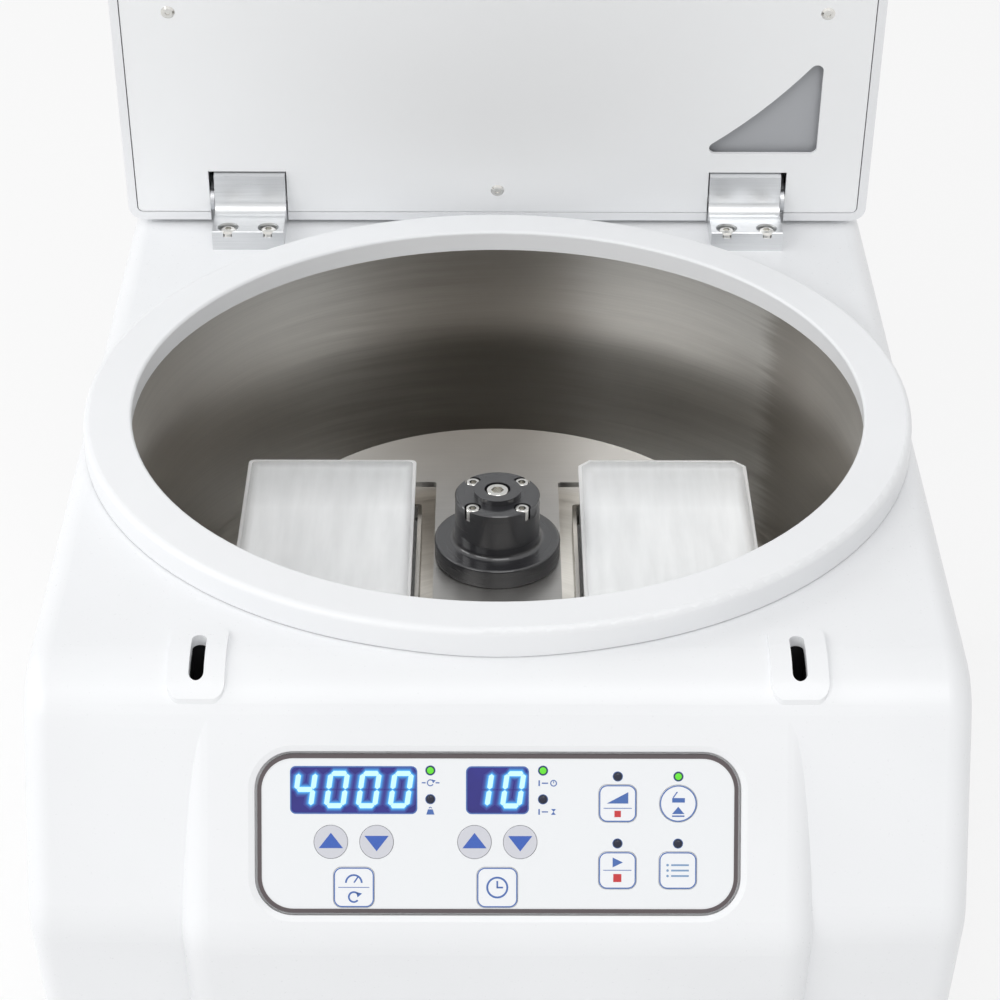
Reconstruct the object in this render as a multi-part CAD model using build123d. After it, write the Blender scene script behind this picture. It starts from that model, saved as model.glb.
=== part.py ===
from build123d import *
from math import atan2, cos, radians, sin, tan
import os

# Bench centrifuge with a hinged lid, a steel bowl and a swing-out rotor for two deep-well plates.
# Millimetres. The origin lies on the bench, under the bowl's axis. +Z is up and the front faces -Y.
# The lid is modelled closed and then turned open, because it stands open at rest.

# Housing
BODY_W = 398.0
TOP_Z = 297.0
WALL = 3.5
SIDE_ROUND = 11.0
BACK_ROUND = 8.0
TOP_ROUND = 30.0
FLANK_TOP_Z = TOP_Z - 19.0
FLANK_ROUND = 60.0
SIDE_NOSE_Y = -252.5
NOSE_Z = TOP_Z - 101.0
SIDE_NOSE_ROUND = 30.0
SIDE_BASE_Y = -221.0
KNEE_Z = 70.0
KNEE_ROUND = 200.0

# Console: the proud middle of the front, whose slope carries the control panel
CONSOLE_MARGIN = 33.6
CONSOLE_TOP_Y = -207.5
CONSOLE_TILT = 28.0
CONSOLE_NOSE_ROUND = 24.0
CONSOLE_BASE_STEP = 10.5
CONSOLE_EDGE = 13.0

# Foot and base pan
FOOT_H = 12.0
FOOT_R = 17.0
FOOT_INSET = 49.0
FOOT_FRONT_Y = -180.0
FOOT_BACK_Y = 215.0
PAN_T = 2.0
PAN_FLANGE_H = 26.0
PAN_GAP = 0.3

# Bowl, its ring and the opening in the housing
BOWL_R = 175.4
BOWL_T = 1.5
BOWL_DEPTH = 142.0
BOWL_CORNER = 18.0
BOWL_LIP_W = 10.0
RING_COVER = 1.9
RING_WALL = 9.1
RING_H = 13.0
RING_ROUND = 3.0
RING_SKIRT = 12.0
RING_SHADOW_GAP = 0.5
FIT_GAP = 0.3
BOOT_BORE_R = 26.0
BOOT_FLANGE_R = 57.0
BOOT_SHOULDER_R = 50.0
BOOT_SHOULDER_H = 11.0
BOOT_STEP_R = 40.0
BOOT_STEP_GAP = 0.7
BOOT_NECK_R = 29.0
BOOT_H = 22.0

# Latch slots in the top, with their raised pads
LATCH_X = 126.0
LATCH_Y = -195.6
SLOT_W = 6.3
SLOT_L = 24.4
PAD_W = 24.0
PAD_L = 36.0
PAD_H = 1.6
PAD_ROUND = 5.0
LOCK_BOX_W = 16.0
LOCK_BOX_L = 31.0
LOCK_BOX_WALL = 2.5
LOCK_BOX_H = 32.0
SLOT_WELL_GAP = 0.7
LOCK_BOX_GAP = 0.2

# Lid lock: a bar slides along X and pushes one pin through each striker
STRIKER_T = 2.5
STRIKER_L = 16.0
STRIKER_REACH = 34.0
STRIKER_WINDOW = 8.0
STRIKER_BASE = 2.0
LOCK_PIN_R = 2.5
LOCK_PIN_GAP = 0.3
LOCK_PIN_DROP = 24.0
LOCK_TRAVEL = 10.0
LOCK_BAR = 6.0
LOCK_BAR_H = 10.0
LOCK_BAR_GAP = 4.0
LOCK_LUG_T = 4.0
LOCK_LUG_OVER = 3.0

# Control panel, in its own plane: X to the right and V up the slope, from the panel's centre
PANEL_W = 200.8
PANEL_H = 67.0
PANEL_CORNER = 15.0
PANEL_Z = TOP_Z - 60.6
PANEL_SINK = 0.8
RECESS_BEVEL_W = 2.6
RECESS_BEVEL_D = 0.9
BEZEL_W = 1.7
BEZEL_PROUD = 0.2
OVERLAY_T = 2.6
POCKET_MARGIN = 1.2
SEAT_LEDGE = 7.0
SEAT_T = 4.4
KEY_GAP = 0.2
KEY_T = 1.35
KEY_PROUD = 0.15
KEY_TRAVEL = 0.5
KEY_FLOOR_GAP = 0.15
KEY_CORNER = 3.4
ARROW_R = 7.0
ARROW_V = -3.5
ARROW_PITCH = 19.1
BIG_KEY = 17.0
BIG_KEY_V = -22.7
SMALL_KEY = 15.7
DOOR_KEY_R = 7.8
SPEED_X = -60.2
TIME_X = -0.2
RIGHT_COL_1 = 50.0
RIGHT_COL_2 = 75.3
RIGHT_ROW_1 = 12.9
RIGHT_ROW_2 = -15.4
DISPLAY_V = 18.4
DISPLAY_H = 19.6
SPEED_DISPLAY_W = 52.5
TIME_DISPLAY_W = 25.7
LED_R = 1.9
LED_GAP = 0.1
LED_ABOVE_KEY = 11.4
SPEED_LED_X = -28.2
TIME_LED_X = 18.8
LED_ROW_1 = 26.7
LED_ROW_2 = 14.6
BOARD_T = 1.6
BOARD_GAP = 5.0

# Lid, measured closed
LID_OVERHANG = 0.5
LID_FRONT_Y = -219.0
LID_GAP = 0.4
LID_H = 34.6
LID_WALL = 4.6
LID_TOP_T = 3.5
LID_FRONT_CORNER = 34.0
LID_BACK_CORNER = 8.0
LID_EDGE = 10.0
LINER_T = 2.0
LINER_CLEAR = 1.0
LINER_GAP = 0.5
OPEN_ANGLE = 82.0
LID_SCREW_INSET = 29.9
LID_SCREW_U = 115.0
LID_SCREW_FRONT_Y = -120.0
LID_SCREW_MID_U = 6.2
LID_SCREW_R = 3.6
LID_SCREW_H = 0.75
LID_SCREW_HEX_R = 1.5
LID_BOSS_R = 5.0
STIFFENER_GAP = 3.0
STIFFENER_T = 1.2
STIFFENER_BACK_Y = 187.0
STIFFENER_L = 390.0
STIFFENER_MARGIN = 13.0
STIFFENER_CORNER = 20.0
STRIKER_FOOT_W = 16.0
STRIKER_FOOT_L = 26.0

# Hinges
HINGE_Y = 208.5
HINGE_H = 15.5
HINGE_TAIL = 12.6
HINGE_X = 133.0
HINGE_W = 38.0
HINGE_FOOT_Y = 177.5
HINGE_FOOT_H = 10.8
HINGE_FACE = 7.0
HINGE_BACK = 5.0
HINGE_TOP_R = 17.4
HINGE_FILLET = 6.0
NOTCH_REACH = 18.0
NOTCH_INNER_GAP = 0.6
NOTCH_OUTER_GAP = 3.2
PIN_R = 3.0
PIN_FIT = 0.02
PIN_RUN = 0.06
EAR_T = 2.2
EAR_R = 6.4
EAR_GAP = 0.35
HINGE_SCREW_PITCH = 21.4
HINGE_SCREW_Y = 182.6
HINGE_SCREW_BORE_R = 5.6
HINGE_SCREW_SINK = 3.4
BRACKET_REACH = 18.0

# Rotor
SHAFT_R = 8.0
SHAFT_RUN = 0.05
YOKE_H = 64.5
YOKE_T = 3.0
YOKE_RIB_T = 5.0
YOKE_RIB_H = 12.0
YOKE_STEP_IN = 0.6
YOKE_BOSS_W = 26.0
YOKE_BOSS_L = 13.0
YOKE_BOSS_H = 18.0
YOKE_BORDER = 54.6
YOKE_CHAMFER = 0.6
BRIDGE_HALF = 31.3
WINDOW_GAP = 1.07
BRIDGE_GAP = 7.51
HUB_FLANGE_R = 31.0
HUB_FLANGE_T = 10.0
HUB_R = 20.8
HUB_H = 26.4
CAP_H = 8.5
CAP_BOSS_R = 11.5
CAP_BOSS_H = 3.0
CAP_SCREW_AT = 12.0
CAP_SCREW_HEAD_R = 3.5
CAP_BORE_R = 4.1
CAP_BORE_D = 6.0
CAP_SCREW_HEX_R = 2.0
CENTRE_HEAD_R = 5.5
CENTRE_BORE_R = 6.3
CENTRE_BORE_D = 3.0
CENTRE_HEX_R = 3.2
COLLAR_R = 24.0
COLLAR_H = 18.0

# Carriers and plates
PLATE_L = 127.76
PLATE_W = 85.48
PLATE_H = 44.0
PLATE_OVER_YOKE = 15.5
PLATE_SKIRT_H = 8.0
PLATE_INSET = 1.2
PLATE_RIM_H = 3.0
PLATE_CORNER = 3.2
WELL_PITCH = 9.0
WELL_SIZE = 8.1
WELL_DEPTH = 40.0
WELL_ROWS = 12
WELL_COLS = 8
CARRIER_WALL = 2.0
CARRIER_GAP = 0.45
CARRIER_WALL_H = 18.0
CARRIER_FLOOR_T = 2.0
TRUNNION_DROP = 6.6
TRUNNION_R = 4.0
TRUNNION_RUN = 0.05
TRUNNION_BOSS_R = 8.0
TRUNNION_BOSS_GAP = 0.3
TRUNNION_SEAT = 9.0

# Drive
MOTOR_R = 68.0
MOTOR_BASE_Z = 44.0
MOTOR_H = 92.0
MOTOR_PLATE = 190.0
MOTOR_PLATE_T = 6.0
MOUNT_R = 14.0
MOUNT_AT = 78.0
MOTOR_FINS = 24
MOTOR_BOSS_H = 8.0
DRIVE_BOARD_X = -142.0
DRIVE_BOARD_Y = 60.0
DRIVE_BOARD_W = 84.0
DRIVE_BOARD_L = 150.0
DRIVE_POST_H = 8.0
DRIVE_POST_R = 3.0

# Rear
REAR_PANEL_W = 330.0
REAR_PANEL_H = 190.0
REAR_PANEL_Z = 150.0
REAR_SHEET = 2.0
REAR_FLANGE = 2.0
REAR_LEDGE = 14.0
INLET_X = -110.0
INLET_Z = 92.0
INLET_W = 28.0
INLET_H = 20.0
ROCKER_X = -60.0
ROCKER_W = 20.0
ROCKER_H = 26.0
ROCKER_TILT = 6.0
ROCKER_PIVOT_DEPTH = 4.5
ROCKER_PIN_R = 1.5
CUTOUT_GAP = 0.3
REAR_SCREW_INSET = 7.0
REAR_VENT_ROWS = 9
REAR_VENT_COLS = 4
REAR_VENT_W = 56.0
REAR_VENT_H = 4.0
REAR_VENT_PITCH_X = 66.0
REAR_VENT_PITCH_Z = 8.0

# Sizes that follow from the ones above
CONSOLE_W = PANEL_W + 2 * CONSOLE_MARGIN
FOOT_X = BODY_W / 2 - FOOT_INSET
BOWL_FLOOR_Z = TOP_Z - BOWL_DEPTH
RING_R_IN = BOWL_R - RING_COVER
RING_R_OUT = BOWL_R + BOWL_T + BOWL_LIP_W + FIT_GAP + RING_WALL
RING_TOP_Z = TOP_Z + RING_H
LID_HALF_W = BODY_W / 2 + LID_OVERHANG
LID_BOTTOM_Z = RING_TOP_Z + LID_GAP
LINER_Z = RING_TOP_Z + LINER_CLEAR
LID_SCREW_X = LID_HALF_W - LID_SCREW_INSET
HINGE_Z = TOP_Z + HINGE_H
YOKE_TOP_Z = BOWL_FLOOR_Z + YOKE_H
HUB_BARREL_Z = YOKE_TOP_Z + HUB_H
CAP_TOP_Z = HUB_BARREL_Z + CAP_H
PLATE_TOP_Z = YOKE_TOP_Z + PLATE_OVER_YOKE
TRUNNION_Z = YOKE_TOP_Z - TRUNNION_DROP
BOOT_STEP_Z = TRUNNION_Z - PLATE_W / 2 - BOOT_STEP_GAP
WINDOW_HALF_L = PLATE_L / 2 + CARRIER_GAP + CARRIER_WALL + WINDOW_GAP
YOKE_R = WINDOW_HALF_L + YOKE_BORDER
CARRIER_X = BRIDGE_HALF + BRIDGE_GAP + CARRIER_WALL + CARRIER_GAP + PLATE_W / 2


def slab(x0, x1, y0, y1, z0, z1):
    """Box between two corners."""
    box = Box(x1 - x0, y1 - y0, z1 - z0)
    return Pos((x0 + x1) / 2, (y0 + y1) / 2, (z0 + z1) / 2) * box


def block(x, y, width, length, z0, z1):
    """Upright box about a place in plan, between two heights."""
    return Pos(x, y, (z0 + z1) / 2) * Box(width, length, z1 - z0)


def rod(radius, z0, z1, x=0.0, y=0.0):
    """Upright cylinder between two heights."""
    return Pos(x, y, (z0 + z1) / 2) * Cylinder(radius, z1 - z0)


def rod_x(radius, x0, x1, y, z):
    """Cylinder along X."""
    return Pos((x0 + x1) / 2, y, z) * Rot(0, 90, 0) * Cylinder(radius, abs(x1 - x0))


def rod_y(radius, y0, y1, x, z):
    """Cylinder along Y."""
    return Pos(x, (y0 + y1) / 2, z) * Rot(90, 0, 0) * Cylinder(radius, abs(y1 - y0))


def turned(points):
    """Solid of revolution about Z from a closed outline of (radius, height) points."""
    return revolve(make_face(Plane.XZ * Polyline(*points, close=True)), Axis.Z)


def mirrored(solid):
    """The same piece on the other side of the YZ plane."""
    return mirror(solid, Plane.YZ)


def both_sides(solid):
    """A piece and its mirror image as a group."""
    return Compound(children=[solid, mirrored(solid)])


def write(solid, name):
    """Write one node."""
    export_step(solid, "parts/" + name + ".step")


# Housing outlines in the YZ plane

CONSOLE_SLOPE = tan(radians(CONSOLE_TILT))
CONSOLE_NOSE_Y = CONSOLE_TOP_Y - (TOP_Z - NOSE_Z) * CONSOLE_SLOPE
CONSOLE_BASE_Y = SIDE_BASE_Y - CONSOLE_BASE_STEP
FLANK_TOP_Y = CONSOLE_TOP_Y - (TOP_Z - FLANK_TOP_Z) * CONSOLE_SLOPE


def foremost(corner_y, corner_z, knee_y, radius):
    """Y of the front of the nose arc between the slope and the receding line below it."""
    lean = atan2(knee_y - corner_y, corner_z - KNEE_Z)
    turn = radians(CONSOLE_TILT) + lean
    back = radius * tan(turn / 2)
    start_y = corner_y + back * sin(radians(CONSOLE_TILT))
    return start_y + radius * cos(radians(CONSOLE_TILT)) - radius


FRONT_Y = foremost(CONSOLE_NOSE_Y, NOSE_Z, CONSOLE_BASE_Y, CONSOLE_NOSE_ROUND)
REAR_Y = -FRONT_Y - REAR_SHEET - REAR_FLANGE
RIM_Z = FOOT_H + PAN_T
LOCK_BOX_LOW = TOP_Z - WALL - LOCK_BOX_H
LOCK_PIN_Z = LINER_Z - LOCK_PIN_DROP
LOCK_BAR_Y = -(BOWL_R + BOWL_T + LOCK_BAR_GAP + LOCK_BAR / 2)
LOCK_BAR_TOP = LOCK_BOX_LOW - 2.0


def section(front, radii, base_z):
    """Side view of the housing from its base round the back and the top to the front's points."""
    points = [(REAR_Y, base_z), (REAR_Y, TOP_Z), (CONSOLE_TOP_Y, TOP_Z), *front, (front[-1][0], base_z)]
    line = FilletPolyline(*points, radius=[0, BACK_ROUND, TOP_ROUND, *radii, 0], close=True)
    return make_face(Plane.YZ * line)


def side_section(base_z):
    """Outline of the housing beside the console, which leaves the console's slope below its top."""
    front = [(FLANK_TOP_Y, FLANK_TOP_Z), (SIDE_NOSE_Y, NOSE_Z), (SIDE_BASE_Y, KNEE_Z)]
    return section(front, [FLANK_ROUND, SIDE_NOSE_ROUND, KNEE_ROUND], base_z)


def console_section(base_z):
    """Outline of the housing at the console."""
    front = [(CONSOLE_NOSE_Y, NOSE_Z), (CONSOLE_BASE_Y, KNEE_Z)]
    return section(front, [CONSOLE_NOSE_ROUND, KNEE_ROUND], base_z)


def rounded_block(face, half_width, edge_round, base_z):
    """Section pushed out both ways along X, with its side edges rounded all round but for the base."""
    body = extrude(face, amount=half_width, both=True)
    rims = []
    for edge in body.edges():
        at = edge.center()
        if abs(abs(at.X) - half_width) < 0.01 and at.Z > base_z + 1:
            rims.append(edge)
    return fillet(rims, edge_round)


def housing_outer():
    """Housing before it is hollowed: the side body and the proud console."""
    body = rounded_block(side_section(RIM_Z), BODY_W / 2, SIDE_ROUND, RIM_Z)
    console = rounded_block(console_section(RIM_Z), CONSOLE_W / 2, CONSOLE_EDGE, RIM_Z)
    return body + console


def housing_cavity(shrink=0.0):
    """Space inside the housing, open at the bottom; shrink keeps a piece that much clear of the wall."""
    inset = WALL + shrink
    below = RIM_Z - 30
    side = offset(side_section(below), -inset)
    body = rounded_block(side, BODY_W / 2 - inset, SIDE_ROUND - inset, below + inset)
    half_console = CONSOLE_W / 2 - CONSOLE_EDGE - inset
    return body + extrude(offset(console_section(below), -inset), amount=half_console, both=True)


# Control panel plane

PANEL_DOWN = TOP_Z - PANEL_Z
PANEL_NORMAL = (0, -cos(radians(CONSOLE_TILT)), sin(radians(CONSOLE_TILT)))
PANEL_Y = CONSOLE_TOP_Y - PANEL_DOWN * CONSOLE_SLOPE + PANEL_SINK / cos(radians(CONSOLE_TILT))
PANEL = Plane(origin=(0, PANEL_Y, PANEL_Z), x_dir=(1, 0, 0), z_dir=PANEL_NORMAL)


def panel_prism(sketch, low, high):
    """Sketch in panel coordinates raised between two depths; zero is the overlay's face."""
    return PANEL * Pos(0, 0, low) * extrude(sketch, amount=high - low)


def panel_outline(margin):
    """Panel's rounded outline, grown or shrunk all round."""
    return RectangleRounded(PANEL_W + 2 * margin, PANEL_H + 2 * margin, PANEL_CORNER + margin)


ARROW_KEYS = {
    "key_speed_up": (SPEED_X - ARROW_PITCH / 2, ARROW_V),
    "key_speed_down": (SPEED_X + ARROW_PITCH / 2, ARROW_V),
    "key_time_up": (TIME_X - ARROW_PITCH / 2, ARROW_V),
    "key_time_down": (TIME_X + ARROW_PITCH / 2, ARROW_V),
}
BIG_KEYS = {
    "key_speed": (SPEED_X, BIG_KEY_V),
    "key_time": (TIME_X, BIG_KEY_V),
}
SMALL_KEYS = {
    "key_soft_start": (RIGHT_COL_1, RIGHT_ROW_1),
    "key_start_stop": (RIGHT_COL_1, RIGHT_ROW_2),
    "key_program": (RIGHT_COL_2, RIGHT_ROW_2),
}
ROUND_KEYS = {
    "key_lid_release": (RIGHT_COL_2, RIGHT_ROW_1),
}
LEDS = [
    (SPEED_LED_X, LED_ROW_1),
    (SPEED_LED_X, LED_ROW_2),
    (TIME_LED_X, LED_ROW_1),
    (TIME_LED_X, LED_ROW_2),
    (RIGHT_COL_1, RIGHT_ROW_1 + LED_ABOVE_KEY),
    (RIGHT_COL_2, RIGHT_ROW_1 + LED_ABOVE_KEY),
    (RIGHT_COL_1, RIGHT_ROW_2 + LED_ABOVE_KEY),
    (RIGHT_COL_2, RIGHT_ROW_2 + LED_ABOVE_KEY),
]


def key_shapes(margin):
    """Outline of each key in panel coordinates, grown by a margin, by name."""
    shapes = {}
    for name, (x, v) in ARROW_KEYS.items():
        shapes[name] = Pos(x, v) * Circle(ARROW_R + margin)
    for places, side in ((BIG_KEYS, BIG_KEY + 2 * margin), (SMALL_KEYS, SMALL_KEY + 2 * margin)):
        for name, (x, v) in places.items():
            shapes[name] = Pos(x, v) * RectangleRounded(side, side, KEY_CORNER + margin)
    for name, (x, v) in ROUND_KEYS.items():
        shapes[name] = Pos(x, v) * Circle(DOOR_KEY_R + margin)
    return shapes


def recess_bevel():
    """Sloping border of the panel's recess in the console."""
    low = PANEL_SINK - RECESS_BEVEL_D
    rise = 2 * RECESS_BEVEL_D
    wide = POCKET_MARGIN + 2 * RECESS_BEVEL_W
    inner = PANEL * Pos(0, 0, low) * panel_outline(POCKET_MARGIN)
    outer = PANEL * Pos(0, 0, low + rise) * panel_outline(wide)
    return loft([inner.face(), outer.face()])


def make_panel():
    """Bezel line, overlay, keys, displays, indicator lamps and the board behind them."""
    bezel = panel_prism(panel_outline(0) - panel_outline(-BEZEL_W), -OVERLAY_T, BEZEL_PROUD)
    write(bezel, "panel_bezel")

    overlay = panel_prism(panel_outline(-BEZEL_W), -OVERLAY_T, 0)
    for shape in key_shapes(KEY_GAP).values():
        overlay -= panel_prism(shape, KEY_PROUD - KEY_T - KEY_TRAVEL - KEY_FLOOR_GAP, 1)
    windows = {
        "speed_display": (SPEED_X, SPEED_DISPLAY_W),
        "time_display": (TIME_X, TIME_DISPLAY_W),
    }
    for name, (x, width) in windows.items():
        pane = Pos(x, DISPLAY_V) * RectangleRounded(width, DISPLAY_H, 2.0)
        overlay -= panel_prism(pane, -OVERLAY_T - 1, 1)
        write(panel_prism(pane, -OVERLAY_T, -0.1), name)
    lamps = []
    for x, v in LEDS:
        overlay -= panel_prism(Pos(x, v) * Circle(LED_R + LED_GAP), -OVERLAY_T - 1, 1)
        lamp = panel_prism(Pos(x, v) * Circle(LED_R), -OVERLAY_T, 0.1)
        lamps.append(lamp)
    write(overlay, "panel_overlay")
    write(Compound(children=lamps), "indicator_leds")

    for name, shape in key_shapes(0).items():
        key = panel_prism(shape, KEY_PROUD - KEY_T, KEY_PROUD)
        top = key.faces().sort_by(Axis((0, 0, 0), PANEL_NORMAL))[-1]
        write(chamfer(top.edges(), 0.15), name)

    back = -OVERLAY_T - SEAT_T
    board_top = back - BOARD_GAP
    board = panel_prism(RectangleRounded(PANEL_W - 2, PANEL_H - 4, 3), board_top - BOARD_T, board_top)
    posts = []
    for sx in (-1, 1):
        for sv in (-1, 1):
            at = Pos(sx * (PANEL_W / 2 - 6), sv * (PANEL_H / 2 - 5.5))
            board -= panel_prism(at * Circle(1.6), board_top - BOARD_T - 1, back)
            posts.append(panel_prism(at * RegularPolygon(2.6, 6), board_top, back))
    write(board, "control_board")
    write(Compound(children=posts), "board_standoffs")


def make_housing():
    """White moulded housing with its console, latch pads and openings."""
    outer = housing_outer()
    pads = extrude(offset(console_section(RIM_Z), PAD_H), amount=BODY_W / 2, both=True)
    pad_top = RectangleRounded(PAD_W, PAD_L, PAD_ROUND)
    slot_cut = []
    for side in (-1, 1):
        at = Pos(side * LATCH_X, LATCH_Y, TOP_Z - 40)
        outer += pads & (at * extrude(pad_top, amount=60))
        slot_cut.append(at * extrude(RectangleRounded(SLOT_W, SLOT_L, SLOT_W / 2 - 0.01), amount=60))
    seat = panel_prism(panel_outline(POCKET_MARGIN + 2), -OVERLAY_T - SEAT_T, 0)
    shell = outer - housing_cavity() + (seat & outer)
    shell -= panel_prism(panel_outline(POCKET_MARGIN), -OVERLAY_T, 20)
    shell -= recess_bevel()
    shell -= panel_prism(panel_outline(-SEAT_LEDGE), -OVERLAY_T - SEAT_T - 1, 0)
    for cut in slot_cut:
        shell -= cut
    shell -= rod(BOWL_R + BOWL_T + FIT_GAP, TOP_Z - 40, TOP_Z + 10)
    window_w = REAR_PANEL_W - 2 * REAR_LEDGE
    window_h = REAR_PANEL_H - 2 * REAR_LEDGE
    shell -= Pos(0, REAR_Y, REAR_PANEL_Z) * Box(window_w, 40, window_h)
    write(shell, "housing")


def make_lock():
    """Boxes under the latch slots, the sliding lock bar with its pins, and the bar's actuator."""
    room = housing_cavity(LOCK_BOX_GAP)
    box = block(LATCH_X, LATCH_Y, LOCK_BOX_W, LOCK_BOX_L, LOCK_BOX_LOW, TOP_Z) & room
    well_w = SLOT_W + 2 * SLOT_WELL_GAP
    well_l = LOCK_BOX_L - 2 * LOCK_BOX_WALL
    box -= block(LATCH_X, LATCH_Y, well_w, well_l, LOCK_BOX_LOW + LOCK_BOX_WALL, TOP_Z + 1)
    box -= rod_x(LOCK_PIN_R + LOCK_PIN_GAP, LATCH_X - LOCK_BOX_W, LATCH_X + LOCK_BOX_W, LATCH_Y, LOCK_PIN_Z)
    write(box, "lock_housing_right")
    write(mirrored(box), "lock_housing_left")

    wall_x = LATCH_X - LOCK_BOX_W / 2
    lug_x = wall_x - LOCK_TRAVEL - 2.0
    tip_x = wall_x + 3.0
    pitch = 2 * LATCH_X
    low_z = LOCK_BAR_TOP - LOCK_BAR_H
    front = LOCK_BAR_Y - LOCK_BAR / 2
    back = LOCK_BAR_Y + LOCK_BAR / 2
    bar = slab(lug_x - LOCK_LUG_T - pitch, lug_x, front, back, low_z, LOCK_BAR_TOP)
    for x in (0, -pitch):
        lug = slab(lug_x - LOCK_LUG_T, lug_x, LATCH_Y - 4, back, low_z, LOCK_PIN_Z + LOCK_LUG_OVER)
        pin = rod_x(LOCK_PIN_R, lug_x - 1, tip_x, LATCH_Y, LOCK_PIN_Z)
        bar += Pos(x, 0, 0) * (lug + pin)
    write(bar, "lock_bar")

    actuator = slab(-22, 22, front - 10.5, front - 0.5, low_z + 3, TOP_Z - WALL)
    write(fillet(actuator.edges().filter_by(Axis.Z), 2) & room, "lock_actuator")


# Base, feet and rear

def make_base():
    """Sheet pan under the housing, with an upturned flange and vents, and the four feet."""
    x_out = BODY_W / 2 - 1.0
    x_in = BODY_W / 2 - WALL - PAN_GAP
    y_in = SIDE_BASE_Y + WALL + PAN_GAP
    back_in = REAR_Y - WALL - PAN_GAP
    pan = slab(-x_out, x_out, SIDE_BASE_Y + 1, REAR_Y - 1, FOOT_H, RIM_Z)
    pan = fillet(pan.edges().filter_by(Axis.Z), SIDE_ROUND - 1.0)
    nose = CONSOLE_W / 2 - CONSOLE_EDGE
    pan += slab(-nose, nose, CONSOLE_BASE_Y + 1, SIDE_BASE_Y + 2, FOOT_H, RIM_Z)
    wall = slab(-x_in, x_in, y_in, back_in, RIM_Z - 1, RIM_Z + PAN_FLANGE_H)
    corner = SIDE_ROUND - WALL - PAN_GAP
    wall = fillet(wall.edges().filter_by(Axis.Z), corner)
    hollow = slab(-x_in + PAN_T, x_in - PAN_T, y_in + PAN_T, back_in - PAN_T, RIM_Z, RIM_Z + PAN_FLANGE_H + 1)
    pan += wall - fillet(hollow.edges().filter_by(Axis.Z), corner - PAN_T)
    for row in range(2):
        for n in range(9):
            vent = Pos((n - 4) * 12, (2 * row - 1) * 40, FOOT_H) * SlotCenterToCenter(40, 5, rotation=90)
            pan -= extrude(vent, amount=4 * PAN_T, both=True)
    write(pan, "base_pan")

    sole = [(0, 2), (FOOT_R - 6, 2), (FOOT_R - 5, 0), (FOOT_R - 1.5, 0), (FOOT_R, 1.5)]
    foot = turned([*sole, (FOOT_R - 2, FOOT_H), (0, FOOT_H)])
    feet = [Pos(sx * FOOT_X, y, 0) * foot for sx in (-1, 1) for y in (FOOT_FRONT_Y, FOOT_BACK_Y)]
    write(Compound(children=feet), "rubber_feet")


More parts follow.
